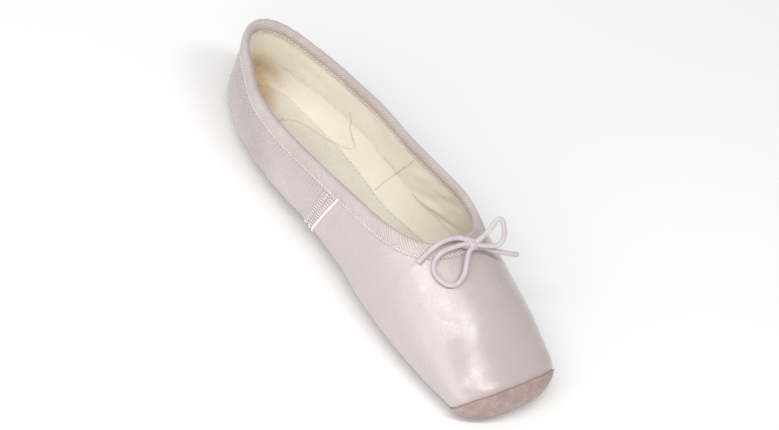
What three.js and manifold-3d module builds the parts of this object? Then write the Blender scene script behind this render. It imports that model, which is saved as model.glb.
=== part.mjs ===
// Pointe shoe on a straight last: a hollow satin upper, open at the collar and underneath, a leather
// outsole that closes it, an insole, a suede tip round the toe, the drawstring casing and the bow.
// Millimetres. The toe points to +X, the wearer's left is +Y, +Z is up, and the outsole stands on z = 0.
// The group is moved at the end, so that the origin is below the middle of the shoe without its bow.

import * as THREE from 'three';
import { mergeVertices } from 'three/addons/utils/BufferGeometryUtils.js';
import Module from 'manifold-3d';

const wasm = await Module();
wasm.setup();

// Driving dimensions
const LENGTH = 240;
const BALL_WIDTH = 72;
const INSTEP_HEIGHT = 62;
const HEEL_HEIGHT = 44;
const WALL = 1.8;
const SOLE_THICKNESS = 2.6;
const INSOLE_THICKNESS = 1.6;
const TIP_THICKNESS = 0.9;
const CASING_THICKNESS = 1.1;
const CASING_DEPTH = 7.5;
const CASING_INSIDE_DEPTH = 4;
const CORD_DIAMETER = 2.5;
const GAP = 0.3;

// How the last closes at its two ends
const HEEL_ROUND = { depth: 33, power: 2.1 };
const TOE_ROUND = { depth: 15, power: 2.15 };
const TOE_SLOPE = { depth: 9, power: 2.3 };
const HEEL_UNDER = { depth: 18, lift: 14 };
const HEEL_LEAN = { amount: 1, from: 20, over: 35, fade: 60 };
const UNDERSIDE_POWER = 4;

// The last, a row for each section. at: share of the length. half: half width, a share of the ball width.
// ridge: height of the top line, a share of the instep height, above the collar where the shoe is open.
// widest: height of the widest line, the same share. arch: lift of the underside above the seat, mm.
// crown: power of the curve over the top, 2 for an ellipse and more for a squarer one.
const LAST = [
  { at: 0.000, half: 0.275, ridge: 1.21, widest: 0.24, arch: 0.0, crown: 2.40 },
  { at: 0.083, half: 0.304, ridge: 1.21, widest: 0.24, arch: 0.0, crown: 2.40 },
  { at: 0.188, half: 0.404, ridge: 1.19, widest: 0.24, arch: 0.0, crown: 2.40 },
  { at: 0.313, half: 0.444, ridge: 1.14, widest: 0.24, arch: 1.6, crown: 2.35 },
  { at: 0.417, half: 0.431, ridge: 1.12, widest: 0.27, arch: 2.1, crown: 2.30 },
  { at: 0.542, half: 0.443, ridge: 1.10, widest: 0.27, arch: 1.1, crown: 2.25 },
  { at: 0.646, half: 0.482, ridge: 0.93, widest: 0.24, arch: 0.0, crown: 2.25 },
  { at: 0.750, half: 0.500, ridge: 0.78, widest: 0.23, arch: 0.0, crown: 2.15 },
  { at: 0.854, half: 0.481, ridge: 0.61, widest: 0.21, arch: 0.0, crown: 2.10 },
  { at: 0.938, half: 0.440, ridge: 0.41, widest: 0.19, arch: 0.3, crown: 2.10 },
  { at: 1.000, half: 0.407, ridge: 0.32, widest: 0.18, arch: 0.9, crown: 2.10 },
];

// The rim of the collar seen from the side: its height as a share of the heel height.
const COLLAR = [
  { at: 0.000, rim: 0.985 },
  { at: 0.083, rim: 0.930 },
  { at: 0.188, rim: 0.875 },
  { at: 0.313, rim: 0.926 },
  { at: 0.417, rim: 0.976 },
  { at: 0.521, rim: 1.056 },
  { at: 0.604, rim: 1.115 },
  { at: 0.667, rim: 1.150 },
  { at: 0.717, rim: 1.230 },
  { at: 0.760, rim: 1.450 },
];

// The outsole's outline: half width as a share of the ball width, and how its two ends are rounded.
const OUTSOLE = [
  { at: 0.058, half: 0.252 },
  { at: 0.150, half: 0.258 },
  { at: 0.250, half: 0.205 },
  { at: 0.350, half: 0.165 },
  { at: 0.460, half: 0.198 },
  { at: 0.600, half: 0.290 },
  { at: 0.740, half: 0.355 },
  { at: 0.896, half: 0.345 },
];
const OUTSOLE_HEEL = { depth: 20, power: 2.2 };
const OUTSOLE_TOE = { depth: 24, power: 2.8 };
const LASTING_MARGIN = 4.5;

// The edge of the suede tip seen from the side: down the front of the toe, then back under it.
const TIP_EDGE = [
  { at: 0.986, height: 30 },
  { at: 0.984, height: 21 },
  { at: 0.980, height: 19.4 },
  { at: 0.974, height: 17.4 },
  { at: 0.966, height: 14.4 },
  { at: 0.954, height: 9.4 },
  { at: 0.938, height: 4.6 },
  { at: 0.900, height: 2.8 },
  { at: 0.850, height: 1.6 },
  { at: 0.808, height: -10 },
];

// The bow. Its cords are lists of places along each cord, [x, y, z], from the knot outwards.
const KNOT = { at: [174.8, 2.4, 55.0], half: [3.1, 3.7, 2.9] };
const BOW_CORDS = {
  bow_loop_left: [
    [174.0, 1.0, 55.2], [172.4, -6.4, 54.7], [172.0, -13.0, 53.3], [173.0, -16.8, 50.7], [175.6, -19.0, 48.4],
    [179.1, -19.2, 46.5], [183.9, -17.4, 45.4], [186.4, -14.8, 45.3], [187.0, -11.6, 46.1], [185.0, -7.0, 48.1],
    [181.2, -3.4, 50.7], [177.8, -0.8, 53.6], [175.6, 1.2, 54.6],
  ],
  bow_end_left: [
    [173.2, 1.6, 57.0], [170.4, -3.0, 58.0], [169.2, -7.2, 57.8], [168.4, -12.5, 55.8], [168.4, -17.8, 52.0],
    [169.4, -23.3, 48.1],
  ],
  bow_loop_right: [
    [175.2, 3.6, 56.2], [175.6, 7.6, 60.2], [175.6, 10.7, 64.4], [175.0, 12.9, 68.6], [175.2, 14.4, 70.2],
    [176.8, 15.9, 68.6], [179.2, 16.7, 64.2], [181.0, 16.4, 59.8], [181.2, 14.2, 57.0], [179.2, 10.4, 56.0],
    [176.4, 5.0, 55.6],
  ],
  bow_end_right: [
    [175.0, 4.0, 54.0], [177.0, 9.8, 52.7], [179.9, 14.3, 51.6], [181.9, 18.6, 50.6], [184.0, 23.0, 49.9],
    [185.4, 26.4, 49.5],
  ],
};

const SIDE_REACH = 60;
const SEAT = SOLE_THICKNESS + GAP;

// A smooth curve through one column of a table. It never overshoots, so equal rows stay flat.
function column(rows, name, scale) {
  const xs = rows.map((row) => row.at * LENGTH);
  const ys = rows.map((row) => row[name] * scale);
  const secants = xs.slice(1).map((x, i) => (ys[i + 1] - ys[i]) / (x - xs[i]));
  const slopes = xs.map((x, i) => {
    const before = secants[Math.max(i - 1, 0)];
    const after = secants[Math.min(i, secants.length - 1)];
    if (before * after <= 0) return 0;
    return (2 * before * after) / (before + after);
  });
  return (x) => {
    if (x <= xs[0]) return ys[0];
    if (x >= xs[xs.length - 1]) return ys[ys.length - 1];
    const i = xs.findIndex((value) => value > x) - 1;
    const span = xs[i + 1] - xs[i];
    const t = (x - xs[i]) / span;
    const s = 1 - t;
    const ends = s * s * (1 + 2 * t) * ys[i] + t * t * (3 - 2 * t) * ys[i + 1];
    return ends + span * t * s * (s * slopes[i] - t * slopes[i + 1]);
  };
}

const halfWidth = column(LAST, 'half', BALL_WIDTH);
const ridgeHeight = column(LAST, 'ridge', INSTEP_HEIGHT);
const widestHeight = column(LAST, 'widest', INSTEP_HEIGHT);
const archLift = column(LAST, 'arch', 1);
const crownPower = column(LAST, 'crown', 1);
const collarHeight = column(COLLAR, 'rim', HEEL_HEIGHT);
const outsoleHalf = column(OUTSOLE, 'half', BALL_WIDTH);

// 1 in the middle of a part and 0 at its end, `inside` mm being the distance from that end
function rounding(inside, end) {
  const u = Math.min(Math.max(1 - inside / end.depth, 0), 1);
  return (1 - u ** end.power) ** (1 / end.power);
}

// Height of the underside of the last, along the shoe
function underside(x) {
  return SEAT + archLift(x);
}

// Half of one section of the last, grown outwards by `grow`, from the sole's middle to the ridge
function sectionPoints(x, grow, steps) {
  const fromHeel = x + grow;
  const fromToe = LENGTH + grow - x;
  const across = rounding(fromHeel, grown(HEEL_ROUND, grow)) * rounding(fromToe, grown(TOE_ROUND, grow));
  const upward = rounding(fromToe, grown(TOE_SLOPE, grow));
  const heelLift = HEEL_UNDER.lift * (1 - rounding(fromHeel, { depth: HEEL_UNDER.depth + grow, power: 2 }));
  const half = (halfWidth(x) + grow) * across;
  const middle = widestHeight(x);
  const above = (ridgeHeight(x) + grow - middle) * upward;
  const below = (middle - underside(x) + grow - heelLift) * upward;
  const points = [];
  for (let i = 0; i <= steps; i += 1) {
    const angle = Math.PI * (i / steps - 0.5);
    const power = 2 / (angle < 0 ? UNDERSIDE_POWER : crownPower(x));
    const rise = Math.abs(Math.sin(angle)) ** power;
    const y = half * Math.max(Math.cos(angle), 0) ** power;
    const z = angle < 0 ? middle - below * rise : middle + above * rise;
    const lean = Math.max((z - HEEL_LEAN.from) / HEEL_LEAN.over, 0) ** 2 * Math.max(1 - x / HEEL_LEAN.fade, 0);
    points.push([x + HEEL_LEAN.amount * lean, i === 0 || i === steps ? 0 : y, z]);
  }
  return points;
}

function grown(end, grow) {
  return { depth: end.depth + grow, power: end.power };
}

// Places of the sections, closer together where the two ends turn round
function sectionPlaces(grow) {
  const heelSteps = 7;
  const middleSteps = 15;
  const toeSteps = 8;
  const heel = HEEL_ROUND.depth + grow;
  const toe = TOE_ROUND.depth + grow;
  const places = [];
  for (let i = 0; i < heelSteps; i += 1) {
    places.push(heel * (1 - Math.cos((Math.PI / 2) * (i / heelSteps))) - grow);
  }
  for (let i = 0; i < middleSteps; i += 1) {
    places.push(HEEL_ROUND.depth + (LENGTH - HEEL_ROUND.depth - TOE_ROUND.depth) * (i / middleSteps));
  }
  for (let i = 0; i <= toeSteps; i += 1) {
    places.push(LENGTH + grow - toe * (1 - Math.sin((Math.PI / 2) * (i / toeSteps))));
  }
  return places;
}

// A closed mesh of the manifold library from any closed geometry
function solid(geometry) {
  geometry.deleteAttribute('normal');
  geometry.deleteAttribute('uv');
  const merged = mergeVertices(geometry, 1e-4);
  const corners = merged.index.array;
  const triangles = [];
  for (let i = 0; i < corners.length; i += 3) {
    const [a, b, c] = corners.slice(i, i + 3);
    if (a !== b && b !== c && c !== a) triangles.push(a, b, c);
  }
  const vertProperties = new Float32Array(merged.attributes.position.array);
  return new wasm.Manifold(new wasm.Mesh({ numProp: 3, vertProperties, triVerts: new Uint32Array(triangles) }));
}

// The whole last, grown outwards by `grow` or shrunk inwards where it is negative
function lastForm(grow) {
  const halfSteps = 16;
  const rings = sectionPlaces(grow).map((x) => {
    const left = sectionPoints(x, grow, halfSteps);
    const right = left.slice(1, -1).reverse().map(([px, py, pz]) => [px, -py, pz]);
    return [...left, ...right];
  });
  const around = rings[0].length;
  const index = [];
  for (let i = 0; i < rings.length - 1; i += 1) {
    for (let j = 0; j < around; j += 1) {
      const a = i * around + j;
      const b = i * around + ((j + 1) % around);
      index.push(a, b, a + around, b, b + around, a + around);
    }
  }
  const geometry = new THREE.BufferGeometry();
  geometry.setAttribute('position', new THREE.Float32BufferAttribute(rings.flat(2), 3));
  geometry.setIndex(index);
  return solid(geometry);
}

// A prism across the shoe, from an outline of [x, z] points
function sidePrism(outline) {
  const shape = new THREE.Shape(outline.map(([x, z]) => new THREE.Vector2(x, z)));
  const geometry = new THREE.ExtrudeGeometry(shape, { depth: 2 * SIDE_REACH, bevelEnabled: false });
  geometry.rotateX(Math.PI / 2);
  geometry.translate(0, SIDE_REACH, 0);
  return solid(geometry);
}

// A prism standing up, from an outline of [x, y] points
function planPrism(outline, bottom, top) {
  const shape = new THREE.Shape(outline.map(([x, y]) => new THREE.Vector2(x, y)));
  const geometry = new THREE.ExtrudeGeometry(shape, { depth: top - bottom, bevelEnabled: false });
  geometry.translate(0, 0, bottom);
  return solid(geometry);
}

// The collar's rim seen from the side, moved across itself by `offset`, up being positive
function rimLine(offset) {
  const steps = 40;
  const from = -12;
  const to = COLLAR[COLLAR.length - 1].at * LENGTH;
  const points = [];
  for (let i = 0; i <= steps; i += 1) {
    const x = from + ((to - from) * i) / steps;
    const slope = collarHeight(x + 0.5) - collarHeight(x - 0.5);
    const length = Math.hypot(1, slope);
    points.push([x - (offset * slope) / length, collarHeight(x) + offset / length]);
  }
  return points;
}

// Everything above the rim, moved by `offset`
function aboveRim(offset) {
  const line = rimLine(offset);
  const top = 130;
  const last = line[line.length - 1];
  return sidePrism([...line, [last[0] + 6, top], [-40, top], [-40, line[0][1]]]);
}

// The outsole's outline drawn in by `inset`, from the heel round the left side and back
function outsoleOutline(inset) {
  const heel = OUTSOLE[0].at * LENGTH + inset;
  const toe = OUTSOLE[OUTSOLE.length - 1].at * LENGTH - inset;
  const steps = 34;
  const left = [];
  for (let i = 0; i <= steps; i += 1) {
    const x = heel + ((toe - heel) * (1 - Math.cos((Math.PI * i) / steps))) / 2;
    const ends = rounding(x - heel, OUTSOLE_HEEL) * rounding(toe - x, OUTSOLE_TOE);
    left.push([x, (outsoleHalf(x) - inset) * ends]);
  }
  const right = left.slice(1, -1).reverse().map(([x, y]) => [x, -y]);
  return [...left, ...right];
}

// Everything below a line that follows the underside, `rise` above it
function belowFloorLine(rise) {
  const steps = 40;
  const line = [];
  for (let i = 0; i <= steps; i += 1) {
    const x = (LENGTH * i) / steps;
    line.push([x, underside(x) + rise]);
  }
  return sidePrism([[0, -20], [LENGTH, -20], ...line.reverse()]);
}

function upperSolid() {
  const opening = planPrism(outsoleOutline(LASTING_MARGIN), -1, 14);
  return lastForm(0).subtract(lastForm(-WALL)).subtract(aboveRim(0)).subtract(opening);
}

function outsoleSolid() {
  const slab = planPrism(outsoleOutline(0), -5, 12);
  return slab.subtract(lastForm(GAP)).subtract(belowFloorLine(-SEAT)).intersect(belowFloorLine(HEEL_UNDER.lift));
}

// The insole lies on the turned-in edge of the upper and fills the opening down to the outsole
function insoleSolid() {
  const top = belowFloorLine(WALL + GAP + INSOLE_THICKNESS);
  const plug = planPrism(outsoleOutline(LASTING_MARGIN + GAP), -1, 14).intersect(lastForm(0));
  return lastForm(-WALL - GAP).add(plug).intersect(top);
}

function tipSolid() {
  const shell = lastForm(GAP + TIP_THICKNESS).subtract(lastForm(GAP));
  const edge = TIP_EDGE.map((row) => [row.at * LENGTH, row.height]);
  const front = sidePrism([...edge, [LENGTH + 20, -10], [LENGTH + 20, 30]]);
  return shell.intersect(front).subtract(planPrism(outsoleOutline(-GAP), -5, 12));
}

// The casing folds over the rim: an outside band, an inside band and the fold between them
function casingSolid() {
  const thick = lastForm(GAP + CASING_THICKNESS).subtract(lastForm(-WALL - GAP - CASING_THICKNESS));
  const groove = lastForm(GAP).subtract(lastForm(-WALL - GAP)).subtract(aboveRim(GAP));
  const insideBelow = lastForm(-WALL / 2).subtract(aboveRim(-CASING_INSIDE_DEPTH));
  const band = thick.subtract(aboveRim(GAP + CASING_THICKNESS)).intersect(aboveRim(-CASING_DEPTH));
  return band.subtract(groove).subtract(insideBelow);
}

// An egg-shaped solid, `grow` mm larger all round
function knotSolid(grow) {
  const [hx, hy, hz] = KNOT.half;
  const geometry = new THREE.SphereGeometry(1, 14, 9);
  geometry.scale(hx + grow, hy + grow, hz + grow);
  geometry.translate(...KNOT.at);
  return solid(geometry);
}

// A round cord through the places given, cut clear of the knot
function cordSolid(places) {
  const curve = new THREE.CatmullRomCurve3(places.map((place) => new THREE.Vector3(...place)), false, 'centripetal');
  const section = new THREE.Shape();
  section.absarc(0, 0, CORD_DIAMETER / 2, 0, 2 * Math.PI);
  const steps = Math.round(curve.getLength() / CORD_DIAMETER);
  const options = { extrudePath: curve, steps, curveSegments: 4 };
  return solid(new THREE.ExtrudeGeometry(section, options)).subtract(knotSolid(GAP));
}

function mesh(name, shape, color, roughness) {
  const { vertProperties, triVerts } = shape.getMesh();
  const geometry = new THREE.BufferGeometry();
  geometry.setAttribute('position', new THREE.BufferAttribute(vertProperties, 3));
  geometry.setIndex(new THREE.BufferAttribute(triVerts, 1));
  const material = new THREE.MeshStandardMaterial({ color, roughness, metalness: 0 });
  const part = new THREE.Mesh(geometry, material);
  part.name = name;
  return part;
}

const shoe = new THREE.Group();
shoe.add(mesh('upper', upperSolid(), 0xd9cbcf, 0.35));
shoe.add(mesh('outsole', outsoleSolid(), 0xd6c2a5, 0.6));
shoe.add(mesh('insole', insoleSolid(), 0xe8dfc4, 0.8));
shoe.add(mesh('toe_tip', tipSolid(), 0xbd9b96, 0.9));
shoe.add(mesh('drawstring_casing', casingSolid(), 0xd9c4d0, 0.7));

const box = new THREE.Box3().setFromObject(shoe);
const middle = box.getCenter(new THREE.Vector3());
shoe.position.set(-middle.x, -middle.y, 0);

shoe.add(mesh('bow_knot', knotSolid(0), 0xd2b9c6, 0.8));
for (const [name, places] of Object.entries(BOW_CORDS)) {
  shoe.add(mesh(name, cordSolid(places), 0xd2b9c6, 0.8));
}

export default shoe;
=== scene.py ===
"""Looks of a satin pointe shoe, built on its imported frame.

The sizes of the last are in millimetres from the back of the heel, as a shoemaker has them, and
each piece is put into the frame's metres when its mesh is made.
"""

import logging
import math
from dataclasses import dataclass
from enum import Enum
from typing import ClassVar

import bpy
import numpy as np
from mathutils import Matrix, Vector

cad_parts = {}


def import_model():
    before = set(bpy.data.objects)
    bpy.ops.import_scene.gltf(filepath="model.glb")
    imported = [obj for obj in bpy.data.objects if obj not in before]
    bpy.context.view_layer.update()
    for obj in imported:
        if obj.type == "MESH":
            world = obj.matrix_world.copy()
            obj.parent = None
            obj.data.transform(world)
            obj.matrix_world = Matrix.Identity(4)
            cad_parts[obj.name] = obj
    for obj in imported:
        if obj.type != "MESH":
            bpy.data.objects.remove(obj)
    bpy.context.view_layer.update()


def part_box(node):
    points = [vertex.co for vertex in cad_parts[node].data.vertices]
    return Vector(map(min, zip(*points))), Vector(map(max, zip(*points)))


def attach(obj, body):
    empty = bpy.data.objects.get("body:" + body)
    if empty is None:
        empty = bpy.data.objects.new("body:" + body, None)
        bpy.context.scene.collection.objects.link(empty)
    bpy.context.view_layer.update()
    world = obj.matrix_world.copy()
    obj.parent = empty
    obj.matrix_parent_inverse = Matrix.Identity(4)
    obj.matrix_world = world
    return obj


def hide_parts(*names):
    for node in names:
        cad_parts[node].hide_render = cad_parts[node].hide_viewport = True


LOG = logging.getLogger("pointe_shoe")
MM = 0.001

# Sizes of the form and of its layers, mm, and the side seam's place along the rim and its slant.
LENGTH = 240.0
BALL_WIDTH = 72.0
INSTEP_HEIGHT = 62.0
HEEL_HEIGHT = 44.0
WALL = 1.8
SEAT = 2.9
GAP = 0.3
HALF_TURN = math.pi / 2
SEAM_ARC = 127.3
SEAM_SLANT = 0.253
TOE_STRETCH = 12.0
LEAN_FROM, LEAN_OVER, LEAN_REACH = 20.0, 35.0, 60.0
MIRROR = np.array([1, -1, 1])

# The scored field and the gathers of the satin, in metres, and the field's size in its own lines.
FIELD_MIDDLE = 0.046
FIELD_PITCH = 0.0045
FIELD_LONG, FIELD_WIDE = 4.5, 6.5
GATHER_PITCH = 0.0023
PUCKER_PITCH = 0.0019

Array = np.ndarray


class Side(Enum):
    """The two sides of the shoe."""

    LEFT = 1
    RIGHT = -1


@dataclass(frozen=True)
class Rounding:
    """How a part closes at its end.

    Args:
        depth: Length of the rounded stretch, mm.
        power: Power of the curve, 2 for an ellipse.
    """

    depth: float
    power: float

    def at(self, inside: Array, grow: Array = 0.0) -> Array:
        """Gives 1 in the middle of a part and 0 at its end."""
        u = np.clip(1.0 - inside / (self.depth + grow), 0.0, 1.0)
        return (1.0 - u**self.power) ** (1.0 / self.power)


@dataclass(frozen=True)
class Column:
    """A smooth curve through rows of (share of the length, value), which never overshoots."""

    rows: tuple[tuple[float, float], ...]
    scale: float = 1.0

    def __call__(self, x: Array) -> Array:
        """Gives the curve's value.

        Args:
            x: Places along the shoe, mm.

        Returns:
            The values there.
        """
        xs = np.array([row[0] for row in self.rows]) * LENGTH
        ys = np.array([row[1] for row in self.rows]) * self.scale
        secants = np.diff(ys) / np.diff(xs)
        before = np.concatenate([secants[:1], secants])
        after = np.concatenate([secants, secants[-1:]])
        same = before * after > 0
        total = np.where(same, before + after, 1.0)
        slopes = np.where(same, 2 * before * after / total, 0.0)
        inside = np.clip(x, xs[0], xs[-1])
        i = np.clip(np.searchsorted(xs, inside, side="right") - 1, 0, len(xs) - 2)
        span = xs[i + 1] - xs[i]
        t = (inside - xs[i]) / span
        s = 1 - t
        ends = s * s * (1 + 2 * t) * ys[i] + t * t * (3 - 2 * t) * ys[i + 1]
        return ends + span * t * s * (s * slopes[i] - t * slopes[i + 1])


HEEL_ROUND = Rounding(33.0, 2.1)
TOE_ROUND = Rounding(15.0, 2.15)
TOE_SLOPE = Rounding(9.0, 2.3)
HEEL_UNDER = Rounding(18.0, 2.0)
HEEL_UNDER_LIFT = 14.0
UNDERSIDE_POWER = 4.0

SHARES = (0.0, 0.083, 0.188, 0.313, 0.417, 0.542, 0.646, 0.750, 0.854, 0.938, 1.0)


def last_column(*values: float, scale: float = 1.0) -> Column:
    """A curve through values at the last's own stations."""
    return Column(tuple(zip(SHARES, values, strict=True)), scale)


HALF = last_column(
    0.275, 0.304, 0.404, 0.444, 0.431, 0.443, 0.482, 0.500, 0.481, 0.440, 0.407, scale=BALL_WIDTH)
RIDGE = last_column(
    1.21, 1.21, 1.19, 1.14, 1.12, 1.10, 0.93, 0.78, 0.61, 0.41, 0.32, scale=INSTEP_HEIGHT)
WIDEST = last_column(
    0.24, 0.24, 0.24, 0.24, 0.27, 0.27, 0.24, 0.23, 0.21, 0.19, 0.18, scale=INSTEP_HEIGHT)
ARCH = last_column(0.0, 0.0, 0.0, 1.6, 2.1, 1.1, 0.0, 0.0, 0.0, 0.3, 0.9)
CROWN = last_column(2.40, 2.40, 2.40, 2.35, 2.30, 2.25, 2.25, 2.15, 2.10, 2.10, 2.10)
RIM = Column(
    ((0.0, 0.985), (0.083, 0.930), (0.188, 0.875), (0.313, 0.926), (0.417, 0.976), (0.521, 1.056),
     (0.604, 1.115), (0.667, 1.150), (0.717, 1.230), (0.760, 1.450)), HEEL_HEIGHT)
SOLE_HALF = Column(
    ((0.058, 0.252), (0.150, 0.258), (0.250, 0.205), (0.350, 0.165), (0.460, 0.198),
     (0.600, 0.290), (0.740, 0.355), (0.896, 0.345)), BALL_WIDTH)
SOLE_HEEL = Rounding(20.0, 2.2)
SOLE_TOE = Rounding(24.0, 2.8)
SOLE_ENDS = (0.058 * LENGTH, 0.896 * LENGTH)
INSOLE_HALF = Column(
    ((0.05, 0.20), (0.12, 0.235), (0.20, 0.262), (0.30, 0.268), (0.37, 0.254), (0.44, 0.236),
     (0.52, 0.290), (0.61, 0.365), (0.74, 0.405), (0.86, 0.395), (0.94, 0.350)), BALL_WIDTH)
TIP_EDGE = ((193.9, -10.0), (204.0, 1.6), (216.0, 2.8), (225.1, 4.6), (229.0, 9.4), (231.8, 14.4),
            (233.8, 17.4), (235.2, 19.4), (236.2, 21.0), (236.6, 30.0))


class Last:
    """The form that the shoe is made on: its surface by a place along it and an angle round it."""

    def __init__(self, heel_back: float) -> None:
        """Keeps where the form stands."""
        self.heel_back = heel_back

    def place(self, x: Array, angle: Array, grow: Array = 0.0) -> Array:
        """Gives points of the surface.

        Args:
            x: Section, mm from the back of the heel.
            angle: -90 degrees under the middle, 0 at the widest line, 90 on the ridge, in radians.
            grow: How far the surface is moved outwards, mm.

        Returns:
            The points, mm, in an array of one more axis.
        """
        x, angle, grow = np.broadcast_arrays(
            np.asarray(x, float), np.asarray(angle, float), np.asarray(grow, float))
        near_heel = np.clip(1 - x / HEEL_ROUND.depth, 0, 1)
        near_toe = np.clip(1 - (LENGTH - x) / TOE_ROUND.depth, 0, 1)
        along = x - grow * near_heel + grow * near_toe
        from_toe = LENGTH + grow - along
        across = HEEL_ROUND.at(along + grow, grow) * TOE_ROUND.at(from_toe, grow)
        upward = TOE_SLOPE.at(from_toe, grow)
        lift = HEEL_UNDER_LIFT * (1 - HEEL_UNDER.at(along + grow, grow))
        half = (HALF(along) + grow) * across
        middle = WIDEST(along)
        above = (RIDGE(along) + grow - middle) * upward
        below = (middle - SEAT - ARCH(along) + grow - lift) * upward
        sine, cosine = np.sin(angle), np.cos(angle)
        cosine = np.where(np.abs(cosine) < 1e-9, 0.0, cosine)
        power = 2 / np.where(sine < 0, UNDERSIDE_POWER, CROWN(along))
        y = half * np.sign(cosine) * np.abs(cosine) ** power
        z = middle + np.where(sine < 0, -below, above) * np.abs(sine) ** power
        lean = (np.clip((z - LEAN_FROM) / LEAN_OVER, 0, None) ** 2
                * np.clip(1 - along / LEAN_REACH, 0, None))
        return np.stack([along + lean, y, z], axis=-1)

    def rim_angle(self, x: Array) -> Array:
        """Angle at which the collar's rim cuts each section, 90 degrees in front of the throat.

        Args:
            x: Sections, mm.

        Returns:
            The angles, radians.
        """
        middle, above, power = WIDEST(x), RIDGE(x) - WIDEST(x), CROWN(x)
        lean = np.zeros_like(x)
        angle = np.zeros_like(x)
        for _ in range(3):
            share = np.clip((RIM(x + lean) - middle) / above, 0, 1)
            angle = np.arcsin(share ** (power / 2))
            lean = self.place(x, angle)[..., 0] - x
        return angle

    def throat(self) -> float:
        """Section at which the rim meets the ridge, mm."""
        x = np.linspace(150, 180, 3001)
        return float(x[np.argmax(RIM(x) >= RIDGE(x))])

    def frame(self, points: Array) -> Array:
        """Turns last points in mm into frame points in metres."""
        return points * MM + np.array([self.heel_back, 0.0, 0.0])


def across_angles(count: int) -> Array:
    """Angles round a section, close together where the curve turns quickly.

    Args:
        count: How many steps each of the two quarters has.

    Returns:
        The angles from -90 to 90 degrees, radians.
    """
    u = np.linspace(0, 1, count + 1)
    eased = u * u * (3 - 2 * u)
    return np.concatenate([(eased - 1) * HALF_TURN, eased[1:] * HALF_TURN])


def even_angles(last: Last, x: Array, low: Array, high: Array, count: int) -> tuple[Array, Array]:
    """Spaces points evenly along each section between two angles.

    Args:
        last: The form.
        x: Sections, mm.
        low: Lower angle of each section.
        high: Upper angle of each section.
        count: Steps along each section.

    Returns:
        The angles, and how far each point is below the upper end, mm, both by section and step.
    """
    fine = across_angles(400)
    points = last.place(x[:, None], fine[None, :])
    steps = np.linalg.norm(np.diff(points, axis=1), axis=2)
    arcs = np.concatenate([np.zeros((len(x), 1)), np.cumsum(steps, axis=1)], axis=1)
    angles, below = [], []
    for i in range(len(x)):
        start, end = np.interp([low[i], high[i]], fine, arcs[i])
        wanted = np.linspace(start, end, count + 1)
        angles.append(np.interp(wanted, arcs[i], fine))
        below.append(end - wanted)
    return np.array(angles), np.array(below)


def side_and_under(last: Last, x: Array, low: Array, high: Array, count: int) -> tuple[Array, Array]:
    """Spaces points evenly down the side, and evenly again from its lower corner to the opening.

    Args:
        last: The form.
        x: Sections, mm.
        low: Angle of the opening in each section.
        high: Angle of the upper end of each section.
        count: Steps along each section.

    Returns:
        The angles, and how far each point is below the upper end, mm.
    """
    corner = np.full_like(x, math.radians(-52.0))
    under = count // 5
    low_angle, low_below = even_angles(last, x, low, corner, under)
    high_angle, high_below = even_angles(last, x, corner, high, count - under)
    low_below = low_below + high_below[:, :1]
    return (np.concatenate([low_angle[:, :-1], high_angle], axis=1),
            np.concatenate([low_below[:, :-1], high_below], axis=1))


def lengths_along(line: Array) -> Array:
    """Distance of each point of a line from its start."""
    return np.concatenate([[0.0], np.cumsum(np.linalg.norm(np.diff(line, axis=0), axis=1))])


def at_lengths(line: Array, lengths: Array, wanted: Array) -> Array:
    """Points of a line at some distances along it."""
    return np.stack([np.interp(wanted, lengths, line[:, k]) for k in range(3)], axis=1)


def made_unit(vectors: Array) -> Array:
    """Makes every vector of a list one long."""
    return vectors / np.linalg.norm(vectors, axis=1)[:, None]


def eased_sections(start: float, end: float, count: int) -> Array:
    """Sections from one end of a piece to the other, close together at both."""
    return start + (end - start) * ((1 - np.cos(np.linspace(0, math.pi, count))) / 2)


def over_seat(x: Array, height: float) -> Array:
    """Height over the ground of places at a height over the insole's seat, mm."""
    return SEAT + WALL + GAP + height + ARCH(x)


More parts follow.
